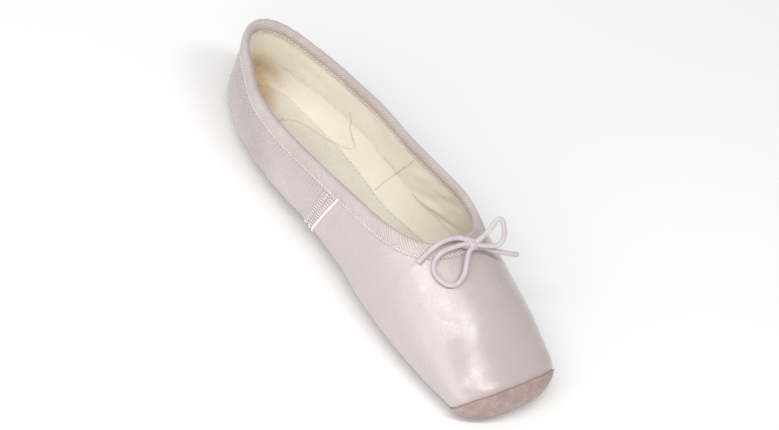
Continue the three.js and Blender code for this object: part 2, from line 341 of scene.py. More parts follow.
class Collar:
    """The path of the rim on the left side, and places on the form at a distance from it."""

    low_edge = -2.0
    step = 0.4
    levels = 60

    def __init__(self, last: Last, count: int) -> None:
        """Walks the surface downwards and upwards from the rim.

        Args:
            last: The form.
            count: Steps from the back of the heel to the throat.
        """
        self.last = last
        throat = last.throat()
        x = throat * (1 - np.cos(np.linspace(0, math.pi, 4001))) / 2
        angle = last.rim_angle(x)
        angle[-1] = HALF_TURN
        points = last.place(x, angle)
        arcs = lengths_along(points)
        self.arc = arcs[-1] * np.linspace(0, 1, count + 1)
        self.x = np.interp(self.arc, arcs, x)
        self.angle = np.interp(self.arc, arcs, angle)
        self._arcs, self._xs = arcs, x
        self._walk()

    def arc_at(self, x: Array) -> Array:
        """Distance of each section along the rim, and on along the ridge beyond the throat."""
        beyond = np.clip(x - self._xs[-1], 0, None)
        return np.interp(x, self._xs, self._arcs) + beyond

    def _slopes(self, x: Array, angle: Array) -> tuple[Array, Array]:
        """The surface's two tangents, by section and by angle.

        Args:
            x: Sections, mm.
            angle: Angles.

        Returns:
            The tangents per mm and per radian.
        """
        ahead, behind = np.clip(x + 0.05, 0, LENGTH), np.clip(x - 0.05, 0, LENGTH)
        along = (self.last.place(ahead, angle) - self.last.place(behind, angle))
        along /= (ahead - behind)[:, None]
        up, down = np.minimum(angle + 1e-4, HALF_TURN), angle - 1e-4
        around = (self.last.place(x, up) - self.last.place(x, down)) / (up - down)[:, None]
        return along, around

    def _walk(self) -> None:
        """Fills the tables of sections and angles by distance from the rim."""
        rim = self.last.place(self.x, self.angle)
        tangent = np.gradient(rim, axis=0)
        tangent[0], tangent[-1] = (0.0, 1.0, 0.0), (0.0, -1.0, 0.0)
        normal = made_unit(np.cross(*self._slopes(self.x, self.angle)))
        away = made_unit(np.cross(made_unit(tangent), normal))
        away[0], away[-1] = (0.0, 0.0, -1.0), (1.0, 0.0, 0.0)
        self.distances = self.low_edge + self.step * np.arange(self.levels)
        zero = int(round(-self.low_edge / self.step))
        self.table_x = np.zeros((self.levels, len(self.x)))
        self.table_angle = np.zeros_like(self.table_x)
        for sign, last_level in ((1, self.levels - 1), (-1, 0)):
            x, angle, heading = self.x.copy(), self.angle.copy(), away * sign
            self.table_x[zero], self.table_angle[zero] = x, angle
            for level in range(zero + sign, last_level + sign, sign):
                along, around = self._slopes(x, angle)
                normal = np.cross(along, around)
                normal /= np.linalg.norm(normal, axis=1)[:, None] + 1e-12
                heading = made_unit(
                    heading - np.sum(heading * normal, axis=1)[:, None] * normal)
                a, b, c = ((along * along).sum(1), (along * around).sum(1), (around * around).sum(1))
                p, q = (along * heading).sum(1), (around * heading).sum(1)
                bottom = a * c - b * b + 1e-9
                x = np.clip(x + self.step * (c * p - b * q) / bottom, 0, LENGTH - 1)
                angle = np.minimum(angle + self.step * (a * q - b * p) / bottom, HALF_TURN)
                x[0], angle[-1] = 0.0, HALF_TURN
                self.table_x[level], self.table_angle[level] = x, angle

    def place(self, distance: Array, grow: Array) -> Array:
        """Points at distances below the rim, for every step along it.

        Args:
            distance: Distances, mm, one for each point of a profile.
            grow: How far each is moved outwards, mm.

        Returns:
            The points, mm, by profile point and step along the rim.
        """
        rows = []
        for d, g in zip(np.atleast_1d(distance), np.atleast_1d(grow)):
            level = np.clip((d - self.distances[0]) / self.step, 0, self.levels - 1.001)
            i, part = int(level), level - int(level)
            x = self.table_x[i] * (1 - part) + self.table_x[i + 1] * part
            angle = self.table_angle[i] * (1 - part) + self.table_angle[i + 1] * part
            rows.append(self.last.place(x, angle, g))
        return np.array(rows)


def clear_selection() -> None:
    """Leaves nothing selected, in object mode."""
    if bpy.context.object is not None and bpy.context.object.mode != "OBJECT":
        bpy.ops.object.mode_set(mode="OBJECT")
    bpy.ops.object.select_all(action="DESELECT")


def pick(piece: bpy.types.Object) -> None:
    """Selects one piece and makes it active.

    Args:
        piece: The piece.
    """
    clear_selection()
    piece.select_set(True)
    bpy.context.view_layer.objects.active = piece


def lay_grid(
    name: str,
    points: Array,
    uv: Array | None = None,
    marks: dict[str, Array] | None = None,
) -> bpy.types.Object:
    """Adds a grid and moves its corners to their places.

    Args:
        name: Name of the piece.
        points: Places by row and column, in the frame, m.
        uv: Places on the cloth by row and column, m.
        marks: Values by row and column to keep as attributes.

    Returns:
        The piece, not yet welded.
    """
    rows, columns = points.shape[:2]
    clear_selection()
    bpy.ops.mesh.primitive_grid_add(
        x_subdivisions=columns - 1, y_subdivisions=rows - 1, size=2.0, calc_uvs=True)
    piece = bpy.context.object
    piece.name = piece.data.name = name
    mesh = piece.data
    flat = np.empty(len(mesh.vertices) * 3)
    mesh.vertices.foreach_get("co", flat)
    co = flat.reshape(-1, 3)
    column = np.rint((co[:, 0] + 1) / 2 * (columns - 1)).astype(int)
    row = np.rint((co[:, 1] + 1) / 2 * (rows - 1)).astype(int)
    mesh.vertices.foreach_set("co", points[row, column].ravel())
    if uv is not None:
        corner = np.empty(len(mesh.loops), dtype=np.int32)
        mesh.loops.foreach_get("vertex_index", corner)
        mesh.uv_layers[0].data.foreach_set("uv", uv[row, column][corner].ravel())
    for title, values in (marks or {}).items():
        mark = mesh.attributes.new(title, "FLOAT", "POINT")
        mark.data.foreach_set("value", values[row, column].astype(np.float32))
    mesh.update()
    return piece


def weld(piece: bpy.types.Object, closed: bool = True, reach: float = 4e-6) -> bpy.types.Object:
    """Merges the corners that fall together, and turns a closed piece's faces outwards.

    Args:
        piece: The piece.
        closed: Whether the piece is a closed skin.
        reach: How close corners are to be merged, m.

    Returns:
        The piece.
    """
    pick(piece)
    bpy.ops.object.mode_set(mode="EDIT")
    bpy.ops.mesh.select_all(action="SELECT")
    bpy.ops.mesh.remove_doubles(threshold=reach)
    bpy.ops.mesh.dissolve_degenerate(threshold=reach / 4)
    if closed:
        bpy.ops.mesh.select_all(action="SELECT")
        bpy.ops.mesh.normals_make_consistent(inside=False)
    bpy.ops.object.mode_set(mode="OBJECT")
    return piece


def join(name: str, parts: list[bpy.types.Object]) -> bpy.types.Object:
    """Joins pieces into one.

    Args:
        name: Name of the joined piece.
        parts: The pieces.

    Returns:
        The joined piece.
    """
    clear_selection()
    for part in parts:
        part.select_set(True)
    bpy.context.view_layer.objects.active = parts[0]
    bpy.ops.object.join()
    parts[0].name = parts[0].data.name = name
    return parts[0]


def thicken(piece: bpy.types.Object, thickness: float, outwards: bool) -> bpy.types.Object:
    """Gives a sheet its thickness.

    Args:
        piece: The sheet.
        thickness: Thickness, mm.
        outwards: Whether the new face is on the side that the sheet faces.

    Returns:
        The piece.
    """
    pick(piece)
    bpy.ops.object.modifier_add(type="SOLIDIFY")
    wall = piece.modifiers[-1]
    wall.thickness = thickness * MM
    wall.offset = 1.0 if outwards else -1.0
    wall.use_rim = True
    bpy.ops.object.modifier_apply(modifier=wall.name)
    return piece


def smooth(piece: bpy.types.Object, angle: float) -> bpy.types.Object:
    """Shades a piece smooth, apart from its sharp edges.

    Args:
        piece: The piece.
        angle: The angle from which an edge stays sharp, degrees.

    Returns:
        The piece.
    """
    pick(piece)
    bpy.ops.object.shade_smooth_by_angle(angle=math.radians(angle))
    return piece


def finish_sheet(piece: bpy.types.Object, thickness: float, outwards: bool,
                 reach: float = 4e-6) -> bpy.types.Object:
    """Welds an open sheet, gives it its thickness and smooths it."""
    return smooth(thicken(weld(piece, closed=False, reach=reach), thickness, outwards), 50)


def dress(piece: bpy.types.Object, material: bpy.types.Material) -> None:
    """Gives a piece its material and lets it ride on the shoe.

    Args:
        piece: The piece.
        material: Its material.
    """
    piece.data.materials.clear()
    piece.data.materials.append(material)
    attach(piece, "root")
    LOG.info("%s: %d faces", piece.name, len(piece.data.polygons))


def face_out(points: Array, uv: Array) -> tuple[Array, Array]:
    """Turns a grid so that its faces look away from the middle of the shoe.

    Args:
        points: Places by row and column, mm.
        uv: Places on the cloth.

    Returns:
        The places and cloth places, with their columns turned round if need be.
    """
    r, c = points.shape[0] // 2, points.shape[1] // 2
    here = points[r, c]
    normal = np.cross(points[r, c + 1] - here, points[r + 1, c] - here)
    away = here - np.array([here[0], 0.0, 20.0])
    if normal @ away >= 0:
        return points, uv
    return points[:, ::-1], uv[:, ::-1]


def smooth_path(places: Array, spacing: float) -> Array:
    """A smooth line through the places given.

    Args:
        places: The places, mm.
        spacing: Distance between the points of the line, mm.

    Returns:
        The points, mm.
    """
    places = np.asarray(places, float)
    ends = np.concatenate([[2 * places[0] - places[1]], places, [2 * places[-1] - places[-2]]])
    line = []
    for i in range(1, len(ends) - 2):
        p0, p1, p2, p3 = ends[i - 1:i + 3]
        t0 = 0.0
        t1, t2, t3 = np.cumsum(np.sqrt(np.linalg.norm(np.diff(ends[i - 1:i + 3], axis=0), axis=1)))
        t = np.linspace(t1, t2, 13)[:-1, None]
        a1 = (t1 - t) / (t1 - t0) * p0 + (t - t0) / (t1 - t0) * p1
        a2 = (t2 - t) / (t2 - t1) * p1 + (t - t1) / (t2 - t1) * p2
        a3 = (t3 - t) / (t3 - t2) * p2 + (t - t2) / (t3 - t2) * p3
        b1 = (t2 - t) / (t2 - t0) * a1 + (t - t0) / (t2 - t0) * a2
        b2 = (t3 - t) / (t3 - t1) * a2 + (t - t1) / (t3 - t1) * a3
        line.append((t2 - t) / (t2 - t1) * b1 + (t - t1) / (t2 - t1) * b2)
    line = np.concatenate([*line, places[-1:]])
    arcs = lengths_along(line)
    count = max(int(round(arcs[-1] / spacing)), 4)
    return at_lengths(line, arcs, np.linspace(0, arcs[-1], count + 1))


def tube_rings(line: Array, radius: Array, sides: int) -> tuple[Array, Array]:
    """Rings round a line, with rounded ends, and their places on the cloth.

    Args:
        line: The middle of the tube, mm.
        radius: Radius at each point, mm.
        sides: Corners of a ring.

    Returns:
        The rings by point and corner, mm, and the cloth places, m.
    """
    tangent = made_unit(np.gradient(line, axis=0))
    side = np.cross(tangent[0], (0.0, 0.0, 1.0))
    if np.linalg.norm(side) < 0.2:
        side = np.cross(tangent[0], (0.0, 1.0, 0.0))
    frames = []
    for direction in tangent:
        side = side - direction * (side @ direction)
        side /= np.linalg.norm(side)
        frames.append((side, np.cross(direction, side)))
    first, second = np.array(frames).transpose(1, 0, 2)
    turn = np.linspace(0, 2 * math.pi, sides + 1)
    rings = (line[:, None, :]
             + (first[:, None, :] * np.cos(turn)[None, :, None]
                + second[:, None, :] * np.sin(turn)[None, :, None]) * radius[:, None, None])
    uv = np.stack(np.broadcast_arrays(
        lengths_along(line)[:, None], (turn * radius.max())[None, :]), axis=-1) * MM
    return rings, uv


def rounded_ends(line: Array, radius: float) -> tuple[Array, Array]:
    """Adds the points that close a tube with round ends.

    Args:
        line: The middle of the tube, mm.
        radius: Its radius, mm.

    Returns:
        The longer line, and the radius at each of its points.
    """
    start = line[0] - line[1]
    start /= np.linalg.norm(start)
    end = line[-1] - line[-2]
    end /= np.linalg.norm(end)
    turns = np.radians([90, 60, 30])
    before = [line[0] + start * radius * math.sin(t) * 0.7 for t in turns]
    after = [line[-1] + end * radius * math.sin(t) * 0.7 for t in turns[::-1]]
    sizes = [radius * math.cos(t) for t in turns]
    sizes[0] = 0.0
    return (np.concatenate([before, line, after]),
            np.concatenate([sizes, np.full(len(line), radius), sizes[::-1]]))


def make_tube(name: str, last: Last, line: Array, radius: float, sides: int) -> bpy.types.Object:
    """Makes a round closed tube along a line.

    Args:
        name: Name of the piece.
        last: The form, for its place in the frame.
        line: The middle of the tube, mm.
        radius: Radius, mm.
        sides: Corners round it.

    Returns:
        The piece.
    """
    longer, sizes = rounded_ends(line, radius)
    rings, uv = tube_rings(longer, sizes, sides)
    piece = lay_grid(name, last.frame(rings), uv)
    return smooth(weld(piece, reach=1e-6), 60)


def make_stitches(
    name: str, last: Last, starts: Array, ends: Array, radius: float, bow: Array
) -> bpy.types.Object:
    """Makes many short threads at once, as one mesh.

    Args:
        name: Name of the piece.
        last: The form, for its place in the frame.
        starts: Where each thread comes out, mm.
        ends: Where each goes in, mm.
        radius: Radius of the thread, mm.
        bow: How far the middle of each stands out, a vector of mm for each.

    Returns:
        The piece.
    """
    share = np.array([0.0, 0.12, 0.5, 0.88, 1.0])
    sizes = np.array([0.25, 0.85, 1.0, 0.85, 0.25]) * radius
    lift = np.array([-0.5, 0.35, 1.0, 0.35, -0.5])
    sides = 6
    turn = np.arange(sides) * 2 * math.pi / sides
    along = ends - starts
    unit = made_unit(along)
    side = made_unit(np.cross(unit, made_unit(bow)))
    up = np.cross(side, unit)
    centre = (starts[:, None, :] + along[:, None, :] * share[None, :, None]
              + bow[:, None, :] * lift[None, :, None])
    ring = (side[:, None, None, :] * np.cos(turn)[None, None, :, None]
            + up[:, None, None, :] * np.sin(turn)[None, None, :, None])
    points = centre[:, :, None, :] + ring * sizes[None, :, None, None]
    count = len(starts)
    per = len(share) * sides
    faces = []
    for k in range(len(share) - 1):
        for j in range(sides):
            a, b = k * sides + j, k * sides + (j + 1) % sides
            faces.append((a, b, b + sides, a + sides))
    caps = [tuple(range(sides))[::-1], tuple(range((len(share) - 1) * sides, per))]
    every = [tuple(i + s * per for i in face) for s in range(count) for face in faces + caps]
    mesh = bpy.data.meshes.new(name)
    mesh.from_pydata(last.frame(points.reshape(-1, 3)).tolist(), [], every)
    piece = bpy.data.objects.new(name, mesh)
    bpy.context.scene.collection.objects.link(piece)
    mesh.update()
    pick(piece)
    bpy.ops.object.mode_set(mode="EDIT")
    bpy.ops.mesh.select_all(action="SELECT")
    bpy.ops.mesh.normals_make_consistent(inside=False)
    bpy.ops.object.mode_set(mode="OBJECT")
    return smooth(piece, 70)


class StitchRows:
    """Rows of stitches that follow lines and are made as one mesh."""

    def __init__(self, half: float, both_sides: bool = True) -> None:
        """Starts without a row.

        Args:
            half: Half the length of a stitch, mm.
            both_sides: Whether each row is repeated on the right side.
        """
        self.half = half
        self.flips = (np.array([1, 1, 1]), MIRROR) if both_sides else (np.array([1, 1, 1]),)
        self.starts, self.ends, self.bows = [], [], []

    def add(self, line: Array, bow: Array, at: Array) -> None:
        """Adds one row.

        Args:
            line: The points that it follows, on the left, mm.
            bow: How far a stitch stands out at each point, as vectors, mm.
            at: The middles of its stitches along the line, mm.
        """
        arcs = lengths_along(line)
        for flip in self.flips:
            self.starts.append(at_lengths(line, arcs, at - self.half) * flip)
            self.ends.append(at_lengths(line, arcs, at + self.half) * flip)
            self.bows.append(at_lengths(bow, arcs, at) * flip)

    def make(self, name: str, last: Last, radius: float) -> bpy.types.Object:
        """Makes all the stitches as one piece."""
        return make_stitches(name, last, np.concatenate(self.starts), np.concatenate(self.ends),
                             radius, np.concatenate(self.bows))


class Nodes:
    """Places and links the nodes of one material or group."""

    def __init__(self, tree: bpy.types.NodeTree) -> None:
        """Starts on an emptied tree."""
        self.tree = tree
        self.tree.nodes.clear()

    def add(self, kind: str, links: dict | None = None, **settings: object) -> bpy.types.Node:
        """Adds one node.

        Args:
            kind: Its type.
            links: Sockets or values for its inputs, by name or number.
            settings: Its own settings.

        Returns:
            The node.
        """
        node = self.tree.nodes.new(kind)
        for key, value in settings.items():
            setattr(node, key, value)
        for key, value in (links or {}).items():
            self.feed(node.inputs[key], value)
        return node

    def feed(self, socket: bpy.types.NodeSocket, value: object) -> None:
        """Links a socket to an input, or sets its value.

        Args:
            socket: The input.
            value: A socket, number, vector or colour.
        """
        if isinstance(value, bpy.types.NodeSocket):
            self.tree.links.new(value, socket)
        elif isinstance(value, tuple) and len(value) == 3 and socket.type == "RGBA":
            socket.default_value = (*value, 1.0)
        else:
            socket.default_value = value

    def sum(self, operation: str, *values: object, clamp: bool = False) -> bpy.types.NodeSocket:
        """One step of arithmetic.

        Args:
            operation: Name of the Math node's operation.
            values: Sockets or numbers.
            clamp: Whether the result is kept from 0 to 1.

        Returns:
            The result.
        """
        node = self.add("ShaderNodeMath", operation=operation, use_clamp=clamp)
        for i, value in enumerate(values):
            self.feed(node.inputs[i], value)
        return node.outputs[0]

    def mix(self, share: object, first: object, second: object) -> bpy.types.NodeSocket:
        """Mixes two colours.

        Args:
            share: How much of the second one.
            first: A colour.
            second: Another colour.

        Returns:
            The colour.
        """
        node = self.add("ShaderNodeMix", data_type="RGBA")
        self.feed(node.inputs["Factor"], share)
        self.feed(node.inputs["A"], first)
        self.feed(node.inputs["B"], second)
        return node.outputs["Result"]

    def span(self, value: object, low: float, high: float, to_low: float = 0.0, to_high: float = 1.0,
             ) -> bpy.types.NodeSocket:
        """Eases a value from one range to another.

        Args:
            value: The value.
            low: Start of its range.
            high: End of its range.
            to_low: Result at the start.
            to_high: Result at the end.

        Returns:
            The result.
        """
        node = self.add("ShaderNodeMapRange", interpolation_type="SMOOTHSTEP")
        for name, number in (("Value", value), ("From Min", low), ("From Max", high),
                             ("To Min", to_low), ("To Max", to_high)):
            self.feed(node.inputs[name], number)
        return node.outputs["Result"]

    def noise(self, where: object, scale: float, detail: float = 2.0, rough: float = 0.5,
              ) -> bpy.types.NodeSocket:
        """A cloudy value.

        Args:
            where: Place.
            scale: Clouds in a metre.
            detail: Octaves.
            rough: How strong the fine ones are.

        Returns:
            The value, about 0.5 on average.
        """
        node = self.add("ShaderNodeTexNoise", {"Vector": where, "Scale": scale, "Detail": detail,
                                               "Roughness": rough})
        return node.outputs["Fac"]

    def bump(self, height: object, depth: float, under: object = None) -> bpy.types.NodeSocket:
        """Raises the surface by a height.

        Args:
            height: The height, 0 to 1.
            depth: What 1 stands for, m.
            under: The normal that it adds to.

        Returns:
            The normal.
        """
        node = self.add("ShaderNodeBump", {"Height": height, "Distance": depth, "Strength": 1.0})
        if under is not None:
            self.feed(node.inputs["Normal"], under)
        return node.outputs["Normal"]

    def surface(self, inputs: dict) -> None:
        """Places the shader and shows it."""
        shader = self.add("ShaderNodeBsdfPrincipled", inputs)
        self.add("ShaderNodeOutputMaterial", {"Surface": shader.outputs["BSDF"]})

    def group(self, tree: bpy.types.NodeTree, **values: object) -> bpy.types.Node:
        """Places a node group.

        Args:
            tree: The group.
            values: Its inputs, with _ for a space.

        Returns:
            The node.
        """
        node = self.add("ShaderNodeGroup", node_tree=tree)
        for name, value in values.items():
            self.feed(node.inputs[name.replace("_", " ")], value)
        return node


def new_material(name: str) -> tuple[bpy.types.Material, Nodes]:
    """Starts a material.

    Args:
        name: Its name.

    Returns:
        The material and its nodes, emptied.
    """
    material = bpy.data.materials.new(name)
    material.use_nodes = True
    return material, Nodes(material.node_tree)


class Group:
    """Makes the node groups that several finishes use."""

    @staticmethod
    def start(name: str, inputs: dict[str, float | None], outputs: tuple[str, ...],
              ) -> tuple[bpy.types.NodeTree, Nodes, bpy.types.Node]:
        """Starts a group.

        Args:
            name: Name of the group.
            inputs: Default value by input, None for a vector.
            outputs: Names of its outputs.

        Returns:
            The group, its nodes and its input node.
        """
        tree = bpy.data.node_groups.new(name, "ShaderNodeTree")
        nodes = Nodes(tree)
        for title, value in inputs.items():
            kind = "NodeSocketVector" if value is None else "NodeSocketFloat"
            socket = tree.interface.new_socket(name=title, in_out="INPUT", socket_type=kind)
            if value is not None:
                socket.default_value = value
        for title in outputs:
            tree.interface.new_socket(name=title, in_out="OUTPUT", socket_type="NodeSocketFloat")
        return tree, nodes, nodes.add("NodeGroupInput")

    @staticmethod
    def threads() -> bpy.types.NodeTree:
        """Makes the group for woven threads, slanted or crossing, from a place on the cloth.

        Returns:
            The group.
        """
        tree, nodes, given = Group.start(
            "woven_threads", {"Cloth": None, "Pitch": 0.001, "Slant": 1.0, "Cross": 0.0,
                              "Waver": 0.3}, ("Height", "Shade"))
        parts = nodes.add("ShaderNodeSeparateXYZ", {"Vector": given.outputs["Cloth"]})
        waver = nodes.sum("MULTIPLY", nodes.sum(
            "SUBTRACT", nodes.noise(given.outputs["Cloth"], 260.0, 2.0), 0.5), given.outputs["Waver"])
        slanted = nodes.sum("MULTIPLY", parts.outputs["Y"], given.outputs["Slant"])
        across = nodes.sum("ADD", parts.outputs["X"], slanted)
        turns = nodes.sum("DIVIDE", across, given.outputs["Pitch"])
        wave = nodes.sum("SINE", nodes.sum("MULTIPLY", nodes.sum("ADD", turns, waver), 2 * math.pi))
        other = nodes.sum("SINE", nodes.sum("MULTIPLY", nodes.sum(
            "DIVIDE", parts.outputs["Y"], given.outputs["Pitch"]), 2 * math.pi))
        crossing = nodes.sum("MULTIPLY", other, given.outputs["Cross"])
        height = nodes.sum("MULTIPLY_ADD", nodes.sum("ADD", wave, crossing), 0.5, 0.5)
        shade = nodes.sum("MULTIPLY_ADD", wave, 0.5, 0.5, clamp=True)
        nodes.add("NodeGroupOutput", {"Height": height, "Shade": shade})
        return tree

    @staticmethod
    def mottle() -> bpy.types.NodeTree:
        """Makes the group for soft uneven patches, for dirt, dye and nap.

        Returns:
            The group.
        """
        tree, nodes, given = Group.start(
            "soft_patches", {"Place": None, "Size": 0.02, "Contrast": 1.0}, ("Patches", "Fine"))
        scaled = nodes.add("ShaderNodeVectorMath", {0: given.outputs["Place"]}, operation="SCALE")
        nodes.feed(scaled.inputs["Scale"], nodes.sum("DIVIDE", 1.0, given.outputs["Size"]))
        coarse = nodes.noise(scaled.outputs[0], 1.0, 3.0, 0.55)
        fine = nodes.noise(scaled.outputs[0], 6.3, 4.0, 0.6)
        patches = nodes.sum("MULTIPLY_ADD", nodes.sum("SUBTRACT", coarse, 0.5),
                            given.outputs["Contrast"], 0.5, clamp=True)
        nodes.add("NodeGroupOutput", {"Patches": patches, "Fine": fine})
        return tree

    @staticmethod
    def specks() -> bpy.types.NodeTree:
        """Makes the group for sparse small marks.

        Returns:
            The group.
        """
        tree, nodes, given = Group.start(
            "sparse_specks", {"Place": None, "Density": 90.0, "Size": 0.1}, ("Specks",))
        cells = nodes.add("ShaderNodeTexVoronoi", {"Vector": given.outputs["Place"],
                                                   "Scale": given.outputs["Density"]})
        chosen = nodes.add("ShaderNodeSeparateColor", {"Color": cells.outputs["Color"]})
        few = nodes.sum("GREATER_THAN", chosen.outputs["Red"], 0.86)
        near = nodes.sum("LESS_THAN", cells.outputs["Distance"], given.outputs["Size"])
        nodes.add("NodeGroupOutput", {"Specks": nodes.sum("MULTIPLY", few, near)})
        return tree


@dataclass(frozen=True)
class Cloth:
    """A woven finish.

    Args:
        light: Its colour.
        dark: The colour of its shaded threads and patches.
        pitch: Distance between its threads or ribs, m.
        slant: How far a rib moves along as it goes down.
        cross: How strong the crossing threads are.
        relief: Depth of the threads, m.
        shading: How much the threads show as colour.
        rough: Roughness.
        sheen: Weight of its sheen.
        patch: Size of its uneven patches, m.
        crumple: Depth of its fine crumples, m.
        specks: Share of the dark specks that show.
        puckered: Whether it is gathered under the casing and beside the side seams.
        specular: Its specular level.
        marks: Place, reach and strength of each darker soft mark, stain and painted shade, m.
        mark_colour: Their colour.
    """

    light: tuple[float, float, float]
    dark: tuple[float, float, float]
    pitch: float
    slant: float
    cross: float
    relief: float
    shading: float
    rough: float
    sheen: float
    patch: float
    crumple: float
    specks: float = 0.0
    puckered: bool = False
    specular: float = 0.5
    marks: tuple[tuple[tuple[float, float, float], float, float], ...] = ()
    mark_colour: tuple[float, float, float] = (0.50, 0.34, 0.18)

    def make(self, name: str, groups: dict[str, bpy.types.NodeTree]) -> bpy.types.Material:
        """Makes the material.

        Args:
            name: Its name.
            groups: The shared node groups.

        Returns:
            The material.
        """
        material, nodes = new_material(name)
        cloth = nodes.add("ShaderNodeUVMap", uv_map="UVMap").outputs["UV"]
        place = nodes.add("ShaderNodeTexCoord").outputs["Object"]
        threads = nodes.group(groups["threads"], Cloth=cloth, Pitch=self.pitch, Slant=self.slant,
                              Cross=self.cross, Waver=0.5)
        patches = nodes.group(groups["mottle"], Place=place, Size=self.patch, Contrast=1.5)
        shade = nodes.sum("MULTIPLY", threads.outputs["Shade"], self.shading)
        colour = nodes.mix(patches.outputs["Patches"], self.light, self.dark)
        colour = nodes.mix(shade, colour, self.dark)
        if self.specks > 0:
            marks = nodes.group(groups["specks"], Place=place, Density=110.0, Size=0.05)
            amount = nodes.sum("MULTIPLY", marks.outputs["Specks"], self.specks)
            colour = nodes.mix(amount, colour, (0.25, 0.19, 0.15))
        # Stains and painted shade, as darker soft marks.
        if self.marks:
            colour = self.stain_and_shade(nodes, place, patches.outputs["Fine"], colour)
        rough = nodes.span(patches.outputs["Fine"], 0.3, 0.7, self.rough - 0.05, self.rough + 0.05)
        normal = nodes.bump(threads.outputs["Height"], self.relief)
        normal = nodes.bump(patches.outputs["Fine"], self.crumple, normal)
        if self.puckered:
            normal = self.puckers(nodes, cloth, place, normal)
        nodes.surface({"Base Color": colour, "Roughness": rough, "Normal": normal,
                       "Sheen Weight": self.sheen, "Sheen Roughness": 0.45,
                       "Specular IOR Level": self.specular})
        return material

    def stain_and_shade(self, nodes: Nodes, place: bpy.types.NodeSocket, blotch: bpy.types.NodeSocket,
              colour: bpy.types.NodeSocket) -> bpy.types.NodeSocket:
        """Darker soft marks on the cloth: stains such as the glue that shows through at the heel
        seat, with painted shade in them, and painted shade on the satin's heel quarters.

        Args:
            nodes: The material's nodes.
            place: Place in the frame.
            blotch: Uneven patches from 0 to 1.
            colour: The colour so far.

        Returns:
            The new colour.
        """
        for centre, reach, strength in self.marks:
            gap = nodes.add("ShaderNodeVectorMath", {0: place, 1: centre}, operation="DISTANCE")
            near = nodes.span(gap.outputs["Value"], 0.15 * reach, reach, strength, 0.0)
            amount = nodes.sum("MULTIPLY", near, nodes.span(blotch, 0.25, 0.65, 0.7, 1.0))
            colour = nodes.mix(amount, colour, self.mark_colour)
        return colour

    def puckers(self, nodes: Nodes, cloth: bpy.types.NodeSocket, place: bpy.types.NodeSocket,
                normal: bpy.types.NodeSocket) -> bpy.types.NodeSocket:
        """Gathers under the drawstring casing and puckers beside the side seam.

        Args:
            nodes: The material's nodes.
            cloth: Place on the cloth: along the rim, and down from it.
            place: Place in the frame.
            normal: The normal so far.

        Returns:
            The new normal.
        """
        parts = nodes.add("ShaderNodeSeparateXYZ", {"Vector": cloth})
        along, down = parts.outputs["X"], parts.outputs["Y"]
        wander = nodes.sum("MULTIPLY", nodes.noise(place, 70.0, 1.0), 6.0)
        slant = nodes.sum("MULTIPLY", down, nodes.span(along, 0.03, 0.11, 0.95, 0.1))
        wave = nodes.sum("SINE", nodes.sum(
            "MULTIPLY_ADD", nodes.sum("ADD", along, slant), 2 * math.pi / GATHER_PITCH, wander))
        under = nodes.span(down, 0.0085, 0.028, 1.0, 0.10)
        seam = nodes.sum("MULTIPLY_ADD", down, SEAM_SLANT,
                         nodes.sum("SUBTRACT", along, SEAM_ARC * MM))
        behind = nodes.span(seam, -0.003, 0.0, 1.0, 0.0)
        height = nodes.sum("MULTIPLY_ADD", nodes.sum(
            "MULTIPLY", nodes.sum("MULTIPLY", wave, under), behind), 0.5, 0.5)
        normal = nodes.bump(height, 0.00045, normal)
        step = nodes.sum("SINE", nodes.sum(
            "MULTIPLY_ADD", down, 2 * math.pi / PUCKER_PITCH, wander))
        close = nodes.sum("MULTIPLY", nodes.span(seam, -0.012, -0.006, 0.0, 1.0),
                          nodes.span(seam, -0.0012, 0.0, 1.0, 0.0))
        return nodes.bump(nodes.sum("MULTIPLY", step, close), 0.00016, normal)


